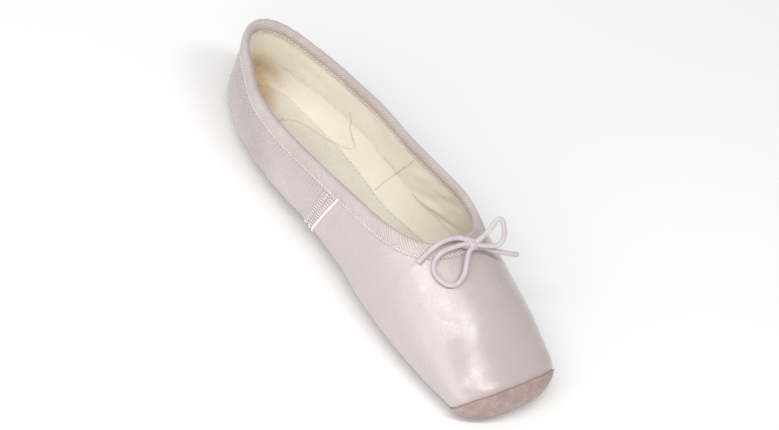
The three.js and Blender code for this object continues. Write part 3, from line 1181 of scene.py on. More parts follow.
@dataclass(frozen=True)
class Hide:
    """A leather finish, smooth for the outsole or napped for the toe.

    Args:
        light: Its colour.
        dark: The colour of its patches.
        edge: The colour of its cut edge, which on the suede is painted shadow along its edge.
        rough: Roughness.
        nap: Depth of its nap or pores, m.
        patch: Size of its patches, m.
        edge_width: How far the edge's colour reaches inwards, m.
        sheen: Weight of its sheen.
        scored: Whether it has the scored field under the ball.
    """

    light: tuple[float, float, float]
    dark: tuple[float, float, float]
    edge: tuple[float, float, float]
    rough: float
    nap: float
    patch: float
    edge_width: float
    sheen: float
    scored: bool = False

    def make(self, name: str, groups: dict[str, bpy.types.NodeTree]) -> bpy.types.Material:
        """Makes the material.

        Args:
            name: Its name.
            groups: The shared node groups.

        Returns:
            The material.
        """
        material, nodes = new_material(name)
        place = nodes.add("ShaderNodeTexCoord").outputs["Object"]
        patches = nodes.group(groups["mottle"], Place=place, Size=self.patch, Contrast=2.2)
        grain = nodes.noise(place, 1150.0, 3.0, 0.75)
        colour = nodes.mix(patches.outputs["Patches"], self.light, self.dark)
        speckle = nodes.span(grain, 0.38, 0.62, 0.0, 0.75)
        colour = nodes.mix(speckle, colour, self.dark)
        # The dark edge: the sole's own darker edge, and painted shadow along the suede's edge.
        rim = nodes.add("ShaderNodeAttribute", attribute_name="edge_distance").outputs["Fac"]
        burnish_and_shadow = nodes.span(rim, 0.0, self.edge_width, 0.85, 0.0)
        colour = nodes.mix(burnish_and_shadow, colour, self.edge)
        normal = nodes.bump(grain, self.nap)
        normal = nodes.bump(patches.outputs["Fine"], self.nap * 2, normal)
        if self.scored:
            colour, normal = self.score(nodes, place, colour, normal)
        rough = nodes.span(patches.outputs["Fine"], 0.3, 0.7, self.rough - 0.08, self.rough + 0.06)
        nodes.surface({"Base Color": colour, "Roughness": rough, "Normal": normal,
                       "Sheen Weight": self.sheen, "Sheen Roughness": 0.4,
                       "Specular IOR Level": 0.4})
        return material

    def score(self, nodes: Nodes, place: bpy.types.NodeSocket, colour: bpy.types.NodeSocket,
              normal: bpy.types.NodeSocket) -> tuple[bpy.types.NodeSocket, bpy.types.NodeSocket]:
        """Cuts the crossing grip lines under the ball.

        Args:
            nodes: The material's nodes.
            place: Place in the frame.
            colour: The colour so far.
            normal: The normal so far.

        Returns:
            The new colour and normal.
        """
        parts = nodes.add("ShaderNodeSeparateXYZ", {"Vector": place})
        x, y = parts.outputs["X"], parts.outputs["Y"]
        centre = nodes.sum("SUBTRACT", x, FIELD_MIDDLE)
        lines, cells = [], []
        for sign in (1.0, -1.0):
            slanted = nodes.sum("MULTIPLY_ADD", y, sign, centre)
            turn = nodes.sum("DIVIDE", slanted, FIELD_PITCH * math.sqrt(2))
            lines.append(nodes.sum("SUBTRACT", 0.5, nodes.sum("PINGPONG", turn, 0.5)))
            cells.append(nodes.sum("ROUND", turn))
        nearest = nodes.sum("MINIMUM", lines[0], lines[1])
        along = nodes.sum("MAXIMUM", *(nodes.sum("ABSOLUTE", cell) for cell in cells))
        across = nodes.sum("ABSOLUTE", nodes.sum("SUBTRACT", cells[0], cells[1]))
        field = nodes.sum("MULTIPLY", nodes.sum("LESS_THAN", along, FIELD_LONG),
                          nodes.sum("LESS_THAN", across, FIELD_WIDE))
        cut = nodes.sum("MULTIPLY", nodes.span(nearest, 0.0, 0.075, 1.0, 0.0), field)
        deeper = nodes.mix(nodes.sum("MULTIPLY", cut, 0.62), colour, self.edge)
        height = nodes.sum("SUBTRACT", 1.0, cut)
        return deeper, nodes.bump(height, 0.0005, normal)


class Finish(Enum):
    """The finishes of the shoe, by name."""

    SATIN = "satin"
    CANVAS = "canvas"
    TAPE = "twill_tape"
    CORD = "drawstring"
    THREAD = "thread"
    SUEDE = "suede"
    SOLE = "sole_leather"
    HEM = "lining_hem"
    SOCK = "insole_cloth"


# Brown stains at the heel seat of the lining and insole, with painted shade in them: place, reach and
# strength, m.
HEEL_STAIN_AND_SHADE = (((-0.113, 0.004, 0.010), 0.018, 0.90), ((-0.103, -0.004, 0.008), 0.018, 0.90),
              ((-0.094, -0.008, 0.007), 0.016, 0.65), ((-0.085, -0.009, 0.007), 0.014, 0.45))
# Painted shade on both heel quarters of the satin: place, reach and strength, m.
HEEL_SHADE = tuple(((x, side * y, z), reach, 0.42) for side in (-1, 1) for x, y, z, reach in (
    (-0.103, 0.019, 0.020, 0.017), (-0.089, 0.026, 0.022, 0.016), (-0.074, 0.030, 0.019, 0.020),
    (-0.060, 0.031, 0.012, 0.018)))


class Palette:
    """Every finish, made once."""

    recipes = {
        Finish.SATIN: Cloth(
            light=(0.53, 0.462, 0.450), dark=(0.48, 0.410, 0.402), pitch=0.00042, slant=0.15,
            cross=0.35, relief=0.00001, shading=0.10, rough=0.26, sheen=0.08, patch=0.035,
            crumple=0.00004, specks=0.5, puckered=True, specular=1.0, marks=HEEL_SHADE,
            mark_colour=(0.33, 0.275, 0.275)),
        Finish.CANVAS: Cloth(
            light=(0.93, 0.89, 0.80), dark=(0.85, 0.79, 0.67), pitch=0.0009, slant=0.0,
            cross=1.0, relief=0.00006, shading=0.12, rough=0.85, sheen=0.15, patch=0.028,
            crumple=0.00030, specks=0.8, marks=HEEL_STAIN_AND_SHADE),
        Finish.SOCK: Cloth(
            light=(0.91, 0.875, 0.785), dark=(0.70, 0.665, 0.56), pitch=0.0011, slant=0.0,
            cross=1.0, relief=0.00012, shading=0.30, rough=0.85, sheen=0.15, patch=0.028,
            crumple=0.00015, specks=0.8, marks=HEEL_STAIN_AND_SHADE),
        Finish.TAPE: Cloth(
            light=(0.76, 0.685, 0.65), dark=(0.51, 0.42, 0.41), pitch=0.0015, slant=0.85,
            cross=0.0, relief=0.00034, shading=0.80, rough=0.65, sheen=0.25, patch=0.02,
            crumple=0.0001),
        Finish.CORD: Cloth(
            light=(0.71, 0.65, 0.665), dark=(0.54, 0.46, 0.485), pitch=0.0013, slant=0.9,
            cross=0.4, relief=0.00018, shading=0.45, rough=0.7, sheen=0.30, patch=0.006,
            crumple=0.00008),
        # The thread is near white; on the side seams' stitch rows it also stands for painted
        # highlights of the shirred satin.
        Finish.THREAD: Cloth(
            light=(0.90, 0.85, 0.84), dark=(0.79, 0.71, 0.70), pitch=0.0006, slant=1.0,
            cross=0.0, relief=0.00003, shading=0.2, rough=0.45, sheen=0.2, patch=0.01,
            crumple=0.00002),
        # The hems and inside seams are browner than the canvas, partly painted shade along their
        # raised edges.
        Finish.HEM: Cloth(
            light=(0.84, 0.77, 0.62), dark=(0.70, 0.58, 0.43), pitch=0.0008, slant=0.3,
            cross=0.5, relief=0.00004, shading=0.2, rough=0.8, sheen=0.15, patch=0.01,
            crumple=0.00005),
        # The suede's edge colour is painted shadow along the edge of the cap.
        Finish.SUEDE: Hide(
            light=(0.60, 0.455, 0.415), dark=(0.33, 0.23, 0.21), edge=(0.28, 0.18, 0.16),
            rough=0.92, nap=0.00025, patch=0.007, edge_width=0.0007, sheen=0.35),
        Finish.SOLE: Hide(
            light=(0.66, 0.52, 0.36), dark=(0.55, 0.41, 0.27), edge=(0.22, 0.12, 0.07),
            rough=0.55, nap=0.00005, patch=0.02, edge_width=0.0016, sheen=0.05, scored=True),
    }

    def __init__(self) -> None:
        """Makes the shared groups and every material."""
        groups = {"threads": Group.threads(), "mottle": Group.mottle(), "specks": Group.specks()}
        self.materials = {finish: recipe.make(finish.value, groups)
                          for finish, recipe in self.recipes.items()}

    def __getitem__(self, finish: Finish) -> bpy.types.Material:
        """Gives one material."""
        return self.materials[finish]


@dataclass(frozen=True)
class Crease:
    """A soft trough with a ridge beside it, seen from the side.

    Args:
        start: Its first end, (x, z) mm.
        end: Its other end, (x, z) mm.
        width: Half width of the trough, mm.
        depth: Depth, mm, or height where it is negative.
    """

    start: tuple[float, float]
    end: tuple[float, float]
    width: float
    depth: float
    ridge = 0.5

    def at(self, points: Array) -> Array:
        """How far it moves each point of its side outwards, with a ridge beside the trough.

        Args:
            points: Points of the form, mm, on that side.

        Returns:
            The moves, mm.
        """
        start, end = np.array(self.start), np.array(self.end)
        flat = points[..., [0, 2]]
        along = end - start
        length = np.linalg.norm(along)
        unit = along / length
        t = (flat - start) @ unit
        beside = (flat - start) @ np.array([-unit[1], unit[0]])
        ends = 0.5 * (np.tanh(t / self.width) + np.tanh((length - t) / self.width))
        taper = np.clip(ends, 0, 1) * np.exp(-((t / length - 0.5) / 0.62) ** 2)
        trough = -self.depth * np.exp(-((beside / self.width) ** 2))
        bank = self.ridge * self.depth * np.exp(-(((beside - 1.9 * self.width) / self.width) ** 2))
        return (trough + bank) * taper


def stations(throat: float, spacing: float) -> Array:
    """Sections of a whole upper, close together at the heel, the throat and the toe.

    Args:
        throat: Section of the throat, mm.
        spacing: Distance between sections elsewhere, mm.

    Returns:
        The sections, mm.
    """
    deep, toe_start = HEEL_ROUND.depth, LENGTH - TOE_STRETCH
    heel = deep * (1 - np.cos(np.linspace(0, HALF_TURN, int(40 / spacing))))[:-1]
    back, front = throat - 9, throat + 6
    middle = np.linspace(deep, back, int((back - deep) / spacing))[:-1]
    near = throat - 9 * (1 - np.linspace(0, 1, int(26 / spacing))) ** 2
    after = throat + 6 * np.linspace(0, 1, int(12 / spacing))[1:] ** 2
    rest = np.linspace(front, toe_start, int((toe_start - front) / spacing))[1:-1]
    toe = LENGTH - TOE_STRETCH * (1 - np.sin(np.linspace(0, HALF_TURN, int(20 / spacing))))
    return np.concatenate([heel, middle, near, after, rest, toe])


def sole_outline(x: Array, inset: float) -> Array:
    """Half width of the outsole drawn in by an inset.

    Args:
        x: Sections, mm.
        inset: The inset, mm.

    Returns:
        The half widths, mm, 0 beyond the outsole's ends.
    """
    heel, toe = SOLE_ENDS[0] + inset, SOLE_ENDS[1] - inset
    ends = SOLE_HEEL.at(x - heel) * SOLE_TOE.at(toe - x)
    return np.clip((SOLE_HALF(x) - inset) * ends, 0, None)


def opening_angle(last: Last, x: Array) -> Array:
    """Angle at which the opening underneath ends each section."""
    half = np.maximum(last.place(x, np.zeros_like(x))[..., 1], 1e-3)
    return -np.arccos(np.clip(sole_outline(x, 4.5) / half, 0, 1) ** 2)


def rim_to_opening(last: Last, x: Array, steps: int) -> tuple[Array, Array, Array]:
    """Spaces points from the rim, or the ridge, down to the opening underneath.

    Args:
        last: The form.
        x: Sections, mm.
        steps: Steps down each section.

    Returns:
        The section, the angle and the distance below the upper end of each point.
    """
    high = last.rim_angle(x)
    high[x >= last.throat()] = HALF_TURN
    angle, below = side_and_under(last, x, opening_angle(last, x), high, steps)
    return np.broadcast_to(x[:, None], angle.shape), angle, below


def crease_rows(*rows: tuple[float, ...]) -> tuple[Crease, ...]:
    """Creases from rows of the x and z of both ends, the half width and the depth, mm."""
    return tuple(Crease((x0, z0), (x1, z1), width, depth) for x0, z0, x1, z1, width, depth in rows)


@dataclass
class Skin:
    """A sheet over the whole last, made in two halves that are joined on the ridge."""

    last: Last
    collar: Collar
    name: ClassVar[str]
    thickness: ClassVar[float]
    steps: ClassVar[int]
    spacing: ClassVar[float]
    creases: ClassVar[dict[Side, tuple[Crease, ...]]]

    def face(self, side: Side, x: Array, steps: int) -> tuple[Array, Array]:
        """Points on the left with one side's creases, and how far each is below the upper end."""
        raise NotImplementedError

    def creased(self, points: Array, side: Side) -> Array:
        """How far the creases of one side move its points outwards."""
        return sum(crease.at(points) for crease in self.creases[side])

    def half(self, side: Side) -> bpy.types.Object:
        """Makes one half of the sheet.

        Args:
            side: Left or right.

        Returns:
            The half, not yet welded.
        """
        x = stations(self.last.throat(), self.spacing)
        points, below = self.face(side, x, self.steps)
        points[..., 1] *= side.value
        along = np.broadcast_to(self.collar.arc_at(x)[:, None], below.shape)
        points, uv = face_out(points, np.stack([along, below], axis=-1) * MM)
        return lay_grid(self.name, self.last.frame(points), uv)

    def whole(self, outwards: bool) -> bpy.types.Object:
        """Makes the whole sheet with its thickness."""
        piece = join(self.name, [self.half(Side.LEFT), self.half(Side.RIGHT)])
        return finish_sheet(piece, self.thickness, outwards, reach=1e-5)


class SatinUpper(Skin):
    """The satin skin, drawn over the last and turned in underneath."""

    name = "satin_upper"
    thickness = 0.5
    steps = 88
    spacing = 1.3
    gather = 0.15
    creases = {
        Side.RIGHT: crease_rows(
            (118, 36, 113, 10, 2.2, 0.50), (113, 24, 124, 29, 1.8, 0.45),
            (113, 12, 127, 15, 2.4, 0.50), (103, 35, 95, 12, 3.0, 0.35),
            (98, 12, 76, 20, 2.6, 0.40), (64, 10, 40, 24, 3.0, 0.40), (50, 7, 28, 15, 2.6, 0.40),
            (30, 8, 14, 20, 2.4, 0.40), (26, 26, 10, 34, 2.8, 0.30)),
        Side.LEFT: crease_rows(
            (118, 34, 113, 12, 2.2, 0.45), (116, 14, 130, 20, 2.0, 0.40),
            (118, 9, 136, 12, 2.4, 0.40), (103, 34, 93, 14, 3.0, 0.40), (98, 12, 70, 20, 2.6, 0.40),
            (70, 9, 44, 22, 2.8, 0.45), (52, 7, 26, 16, 2.6, 0.45), (34, 8, 14, 22, 2.4, 0.45),
            (24, 24, 10, 34, 2.6, 0.35), (185, 44, 192, 34, 2.4, 0.35),
            (176, 38, 200, 30, 4.5, 0.28)),
    }

    def face(self, side: Side, x: Array, steps: int) -> tuple[Array, Array]:
        """Points of the satin on the left of the form, with the creases of one side.

        Args:
            side: The side whose creases it has.
            x: Sections, mm.
            steps: Steps down each section.

        Returns:
            The points and how far each is below the upper end, mm.
        """
        sections, angle, below = rim_to_opening(self.last, x, steps)
        points = self.last.place(sections, angle)
        along = np.broadcast_to(self.collar.arc_at(x)[:, None], angle.shape)
        move = self.creased(points, side) + self.pleats(points, along, side)
        middle = np.clip(np.abs(points[..., 1]) / 6, 0, 1)
        return self.last.place(sections, angle, move * middle), below

    def pleats(self, points: Array, along: Array, side: Side) -> Array:
        """The pull of the lasting: soft pleats that rise from the sole round the heel and waist.

        Args:
            points: Points of the form, mm.
            along: Distance of each along the rim, mm.
            side: Left or right.

        Returns:
            How far each point is moved outwards, mm.
        """
        height = points[..., 2]
        rise = np.exp(-((height - 3) / 9) ** 2)
        heel = np.clip(1.3 - points[..., 0] / 110, 0.15, 1)
        shift = 0.9 if side is Side.LEFT else 0.0
        wave = np.sin(along / 3.1 + shift + 1.5 * np.sin(along / 13.0 + shift))
        return self.gather * rise * heel * wave

    def build(self, palette: Palette) -> None:
        """Makes the skin and dresses it.

        Args:
            palette: The finishes.
        """
        piece = self.whole(outwards=False)
        dress(piece, palette[Finish.SATIN])
        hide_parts("upper")


class CanvasLining(Skin):
    """The canvas that lines the upper, softly filled where it meets the insole."""

    name = "canvas_lining"
    thickness = 0.4
    steps = 64
    spacing = 1.8
    creases = {
        Side.LEFT: crease_rows(
            (112, 13, 132, 23, 2.0, 1.2), (120, 14, 144, 20, 2.4, -1.1),
            (107, 26, 120, 36, 2.4, 0.8), (124, 26, 142, 38, 2.6, -0.8),
            (116, 9, 140, 12, 2.4, -0.8), (76, 10, 100, 22, 4.0, 0.5), (20, 26, 40, 20, 3.0, -0.35),
            (24, 34, 46, 30, 2.5, -0.30), (60, 30, 84, 24, 3.5, -0.40)),
        Side.RIGHT: crease_rows(
            (120, 10, 146, 20, 3.0, -0.7), (60, 28, 90, 22, 4.0, -0.5), (20, 30, 44, 24, 3.0, -0.5)),
    }

    def face(self, side: Side, x: Array, steps: int) -> tuple[Array, Array]:
        """Points of the inner face on the left of the form, with the creases of one side.

        Args:
            side: The side whose creases it has.
            x: Sections, mm.
            steps: Steps down each section.

        Returns:
            The points and how far each is below the upper end, mm.
        """
        sections, angle, below = rim_to_opening(self.last, x, steps)
        points = self.last.place(sections, angle)
        move = self.creased(points, side)
        middle = np.clip(np.abs(points[..., 1]) / 5, 0, 1) * np.clip(below / 9, 0, 1)
        return self.filled(self.last.place(sections, angle, -WALL + move * middle)), below

    def settle(self, line: Array) -> Array:
        """Lays a seam on the lining or the insole, whichever is under it.

        Args:
            line: Points near the left side's inner face, mm.

        Returns:
            The line, lying on the face.
        """
        face, _ = self.face(Side.LEFT, np.linspace(20, 130, 261), 200)
        cloud = face.reshape(-1, 3)
        settled = []
        for point in line:
            if abs(point[1]) < INSOLE_HALF(point[0]) - 0.6:
                settled.append((point[0], point[1], over_seat(point[0], 1.75)))
            else:
                settled.append(cloud[np.argmin(((cloud - point) ** 2).sum(axis=1))])
        padded = np.pad(np.array(settled), ((3, 3), (0, 0)), mode="edge")
        kernel = np.ones(7) / 7
        return np.stack([np.convolve(padded[:, k], kernel, mode="valid") for k in range(3)], 1)

    def filled(self, points: Array) -> Array:
        """Raises the lining beside the insole into a soft fillet.

        Args:
            points: Points of the inner face, mm.

        Returns:
            The raised points.
        """
        x, y, z = points[..., 0], np.abs(points[..., 1]), points[..., 2]
        edge = INSOLE_HALF(x) - 1.2
        wall = np.maximum(HALF(x) * HEEL_ROUND.at(x) - 2.5, edge + 2)
        share = np.clip((y - edge) / (wall - edge), 0, 1.3)
        rise = 6.0 * np.clip((212 - x) / 25, 0, 1) * share**2.2
        rest = over_seat(x, 1.5) + rise
        soft = 22.0 * np.clip(share, 0, 1) ** 1.5 + 0.3
        blended = 0.5 * (z + rest + np.sqrt((z - rest) ** 2 + soft))
        inside = (y > edge) & (x > 8) & (x < 214) & (z < 32)
        points = points.copy()
        points[..., 2] = np.where(inside, np.maximum(blended, z), z)
        return points

    def build(self, palette: Palette) -> None:
        """Makes the lining and dresses it."""
        dress(self.whole(outwards=True), palette[Finish.CANVAS])


@dataclass
class Casing:
    """The twill tape folded over the rim, raised over the drawstring, and its stitches."""

    last: Last
    collar: Collar
    profile: tuple[tuple[float, float], ...] = (
        (7.35, 0.05), (7.6, 0.30), (7.45, 0.66), (6.9, 0.74), (6.45, 0.62), (5.9, 0.82),
        (4.8, 1.10), (3.6, 1.38), (2.4, 1.52), (1.2, 1.48), (0.2, 1.20), (-0.5, 0.70),
        (-0.95, 0.05), (-1.15, -0.70), (-1.05, -1.45), (-0.65, -2.15), (0.0, -2.65),
        (0.9, -2.92), (1.9, -2.92), (2.8, -2.74), (3.5, -2.60), (3.85, -2.40),
        (3.95, -2.15), (3.8, -1.93), (3.0, -1.87), (2.0, -1.87), (1.0, -1.86), (0.2, -1.75),
        (-0.15, -1.20), (-0.15, -0.60), (0.2, -0.05), (1.0, 0.03), (3.0, 0.04), (5.0, 0.05),
        (6.4, 0.05),
    )
    pitch: float = 2.0
    stitch_half: float = 0.84
    thread: float = 0.21
    hem: float = 0.36
    hem_gap: int = 6

    def rounded_profile(self) -> Array:
        """The profile with more points between its corners.

        Returns:
            Points of (distance from the rim, grow), mm, the first one again at the end.
        """
        corners = np.array(self.profile)
        around = np.concatenate([corners[-1:], corners, corners[:2]])
        points = []
        for i in range(len(corners)):
            p0, p1, p2, p3 = around[i:i + 4]
            for t in (0.0, 0.5):
                points.append(0.5 * (2 * p1 + (p2 - p0) * t + (2 * p0 - 5 * p1 + 4 * p2 - p3) * t * t
                                     + (3 * p1 - p0 - 3 * p2 + p3) * t**3))
        return np.array([*points, points[0]])

    def band(self, side: Side) -> bpy.types.Object:
        """Makes the band of one side.

        Args:
            side: Left or right.

        Returns:
            The band, open at its two ends.
        """
        profile = self.rounded_profile()
        points = self.collar.place(profile[:, 0], profile[:, 1])
        wave = 0.10 * np.sin(self.collar.arc / 0.9 + 2.0 * np.sin(self.collar.arc / 9.0))
        fade = np.clip(1.2 - self.collar.arc / 60, 0.25, 1)
        outward = self.collar.place(profile[:, 0], profile[:, 1] + 0.5) - points
        outer = np.clip((profile[:, 1] - 0.2) / 0.8, 0, 1)[:, None]
        points = points + outward * (2 * outer * (wave * fade)[None, :])[..., None]
        points[..., 1] *= side.value
        uv = np.stack(np.broadcast_arrays(
            self.collar.arc[None, :], lengths_along(profile)[:, None]), axis=-1) * MM
        return lay_grid(f"casing_{side.name.lower()}", self.last.frame(points), uv)

    def row(self, name: str, distance: float, grow: float, out: float) -> bpy.types.Object:
        """Makes a row of stitches along the rim.

        Args:
            name: Name of the row.
            distance: Distance below the rim, mm.
            grow: Height over the form, mm.
            out: Which way the stitches bow, 1 outwards and -1 inwards.

        Returns:
            The row.
        """
        line = self.collar.place(distance, grow)[0]
        lifted = self.collar.place(distance, grow + out * 0.16)[0]
        length = lengths_along(line)[-1]
        count = int(length / self.pitch)
        rows = StitchRows(self.stitch_half)
        rows.add(line, lifted - line, (np.arange(count) + 0.5) * length / count)
        return rows.make(name, self.last, self.thread)

    def build(self, palette: Palette) -> None:
        """Makes the casing, its stitches and the hem of the lining under it.

        Args:
            palette: The finishes.
        """
        piece = join("casing", [self.band(Side.LEFT), self.band(Side.RIGHT)])
        weld(piece, reach=1e-5)
        smooth(piece, 60)
        dress(piece, palette[Finish.TAPE])
        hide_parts("drawstring_casing")
        for row in (("casing_stitches", 6.5, 0.74, 1), ("casing_inner_stitches", 3.2, -2.68, -1)):
            dress(self.row(*row), palette[Finish.THREAD])
        for number, distance in enumerate((5.0, 6.1)):
            line = self.collar.place(distance, -WALL - 0.15)[0][2:-1]
            whole = np.concatenate([line[::-1], line * MIRROR])
            halves = whole[:len(line) - self.hem_gap], whole[len(line) + self.hem_gap:]
            hem = join(f"lining_hem_{number}", [
                make_tube("hem", self.last, half, self.hem, 6) for half in halves])
            dress(hem, palette[Finish.HEM])


@dataclass
class SideSeams:
    """The two side seams: a raised fold, with two rows of stitches on its heel side."""

    last: Last
    collar: Collar
    foot: float = 105.2
    width: float = 0.8
    rows: tuple[float, ...] = (2.6, 6.2)
    rows_top: float = 8.6
    rows_length: float = 34.0
    pitch: float = 1.9
    stitch_half: float = 1.15
    thread: float = 0.32

    def line(self, offset: float, grow: float, top: float) -> Array:
        """A line down the side of the form.

        Args:
            offset: How far behind the seam, mm.
            grow: Height over the form, mm.
            top: Distance below the rim at which it starts, mm.

        Returns:
            The points, mm.
        """
        high = self.last.rim_angle(np.array([self.foot + SEAM_SLANT * HEEL_HEIGHT]))[0]
        low = 0.92 * opening_angle(self.last, np.array([self.foot]))[0]
        angle = np.linspace(high, low, 500)
        x = np.full_like(angle, self.foot)
        for _ in range(4):
            x = self.foot - offset + SEAM_SLANT * self.last.place(x, angle)[:, 2]
        points = self.last.place(x, angle, grow)
        arcs = lengths_along(points)
        return at_lengths(points, arcs, np.arange(top, arcs[-1], 0.25))

    def build(self, palette: Palette) -> None:
        """Makes both seams and dresses them.

        Args:
            palette: The finishes.
        """
        for side in Side:
            flip = np.array([1, side.value, 1])
            fold = self.line(0, 0.25, 7.0)[::3]
            seam = make_tube(
                f"side_seam_{side.name.lower()}", self.last, fold * flip, self.width, 10)
            dress(seam, palette[Finish.THREAD])
            starts, ends, bows = [], [], []
            for offset in self.rows:
                lines = [self.line(offset + beside, grow, self.rows_top) for beside, grow in (
                    (self.stitch_half, 0.10), (-self.stitch_half, 0.10), (0.0, 0.50), (0.0, 0.10))]
                count = min(len(line) for line in lines)
                back, front, high, flat = (line[:count] for line in lines)
                arcs = lengths_along(flat)
                at = np.arange(0.6, min(arcs[-1], self.rows_length), self.pitch)
                starts.append(at_lengths(back, arcs, at))
                ends.append(at_lengths(front, arcs, at))
                bows.append(at_lengths(high - flat, arcs, at))
            # Near-white stitches, partly painted highlights of the shirred satin beside the seam.
            stitches = make_stitches(
                f"side_stitches_{side.name.lower()}", self.last, np.concatenate(starts) * flip,
                np.concatenate(ends) * flip, self.thread, np.concatenate(bows) * flip)
            dress(stitches, palette[Finish.THREAD])


@dataclass
class HeelTape:
    """The satin tape that covers the back seam, stitched along both edges."""

    last: Last
    collar: Collar
    half_width: float = 8.0
    thickness: float = 0.45
    stitch_inset: float = 1.1
    stitch_pitch: float = 2.2
    thread: float = 0.17

    def surface(self, offsets: Array, angles: Array, grow: float) -> Array:
        """Places on the back of the heel.

        Args:
            offsets: Distances from the back seam, mm, left being positive.
            angles: Angles round the sections.
            grow: Height over the form, mm.

        Returns:
            The points by angle and offset, mm.
        """
        fine = HEEL_ROUND.depth * (1 - np.cos(np.linspace(0, HALF_TURN, 400)))
        rows = []
        for angle in angles:
            line = self.last.place(fine, np.full_like(fine, angle), grow)
            point = at_lengths(line, lengths_along(line), np.abs(offsets))
            point[:, 1] *= np.sign(offsets)
            rows.append(point)
        return np.array(rows)

    def build(self, palette: Palette) -> None:
        """Makes the tape and its stitches.

        Args:
            palette: The finishes.
        """
        start = float(np.interp(6.4, self.collar.distances, self.collar.table_angle[:, 0]))
        angles = np.linspace(start, -HALF_TURN * 0.86, 70)
        offsets = np.linspace(self.half_width, -self.half_width, 33)
        points = self.surface(offsets, angles, 0.12)
        down = lengths_along(points[:, len(offsets) // 2])
        uv = np.stack(np.broadcast_arrays(offsets[None, :], down[:, None]), axis=-1) * MM
        piece = lay_grid("heel_tape", self.last.frame(points), uv + np.array([0.2, 0.03]))
        finish_sheet(piece, self.thickness, outwards=True)
        dress(piece, palette[Finish.SATIN])
        edge = self.half_width - self.stitch_inset
        inner, outer = (self.surface(np.array([-edge, edge]), angles, grow) for grow in (0.62, 0.78))
        rows = StitchRows(0.7, both_sides=False)
        for k in range(2):
            line = inner[:, k]
            at = np.arange(1.0, lengths_along(line)[-1] - 2, self.stitch_pitch)
            rows.add(line, outer[:, k] - line, at)
        stitches = rows.make("heel_tape_stitches", self.last, self.thread)
        dress(stitches, palette[Finish.THREAD])


@dataclass
class ToeTip:
    """The suede cap round the platform, its wavy edge and the stitches under the toe."""

    last: Last
    grow: float = 0.3
    thickness: float = 0.8
    around: int = 132
    across: int = 56
    stitch_pitch: float = 1.8
    thread: float = 0.18

    def edge(self, angles: Array) -> Array:
        """Section at which the suede starts, for each angle.

        Args:
            angles: Angles from -90 to 90 degrees.

        Returns:
            The sections, mm.
        """
        x = np.linspace(196, 239.5, 1400)
        points = self.last.place(x[None, :], angles[:, None])
        line_x = np.array([p[0] for p in TIP_EDGE])
        line_z = np.array([p[1] for p in TIP_EDGE])
        height = np.interp(points[..., 0], line_x, line_z, right=200)
        behind = points[..., 2] > height
        outline = sole_outline(points[..., 0], -GAP - 0.25)
        under = (angles[:, None] < 0) & (points[..., 2] < 6.5) & (points[..., 1] < outline)
        blocked = behind | under
        last_blocked = blocked.shape[1] - 1 - np.argmax(blocked[:, ::-1], axis=1)
        return np.where(blocked.any(axis=1), x[np.minimum(last_blocked + 1, len(x) - 1)], x[0])

    def build(self, palette: Palette) -> None:
        """Makes the cap and its stitches.

        Args:
            palette: The finishes.
        """
        turns = across_angles(self.around)
        edge = self.edge(turns)
        kernel = np.array([1, 2, 3, 2, 1]) / 9
        eased = np.convolve(np.pad(edge, 2, mode="edge"), kernel, mode="valid")
        eased = np.maximum(eased, edge - 0.3)
        wavy = eased + 0.10 * np.sin(turns * 9 + 0.6) + 0.05 * np.sin(turns * 23 + 1.3)
        share = np.linspace(0, 1, self.across + 1) ** 0.9
        toe_start = LENGTH - TOE_STRETCH
        start = np.arcsin(np.clip((wavy - toe_start) / TOE_STRETCH, -1, 1))
        turned = np.sin(start[:, None] * (1 - share) + HALF_TURN * share)
        near = wavy[:, None] * (1 - share) + LENGTH * share
        x = np.where((wavy > toe_start)[:, None], LENGTH - TOE_STRETCH * (1 - turned), near)
        x[:, -1] = LENGTH
        inside = x - wavy[:, None]
        lip = 0.15 * np.exp(-((inside / 1.6) ** 2))
        points = self.last.place(x, turns[:, None], self.grow + self.thickness - lip)
        whole = np.concatenate([points, (points * MIRROR)[::-1][1:]]).transpose(1, 0, 2)
        marks = {"edge_distance": np.concatenate([inside, inside[::-1][1:]]).T * MM}
        LOG.info("suede reaches %.1f mm back", LENGTH - wavy.min())
        piece = lay_grid("toe_suede", self.last.frame(whole), whole[..., :2] * MM, marks)
        finish_sheet(piece, self.thickness, outwards=False)
        dress(piece, palette[Finish.SUEDE])
        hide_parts("toe_tip")
        self.stitch(palette, turns, wavy)

    def stitch(self, palette: Palette, turns: Array, edge: Array) -> None:
        """Makes the stitches along the suede's sides under the toe.

        Args:
            palette: The finishes.
            turns: Angles.
            edge: Section of the edge at each.
        """
        low = (turns < math.radians(8)) & (edge < 232) & (edge > 199)
        top = self.grow + self.thickness
        line, lifted = (self.last.place(edge[low] + 1.1, turns[low], top + over)
                        for over in (-0.05, 0.12))
        flat = (np.abs(line[:, 1]) > sole_outline(line[:, 0], 0) + 1.0) & (line[:, 2] < 6.0)
        line, lifted = line[flat], lifted[flat]
        rows = StitchRows(0.6)
        rows.add(line, lifted - line, np.arange(1.0, lengths_along(line)[-1] - 1, self.stitch_pitch))
        dress(rows.make("toe_stitches", self.last, self.thread), palette[Finish.THREAD])


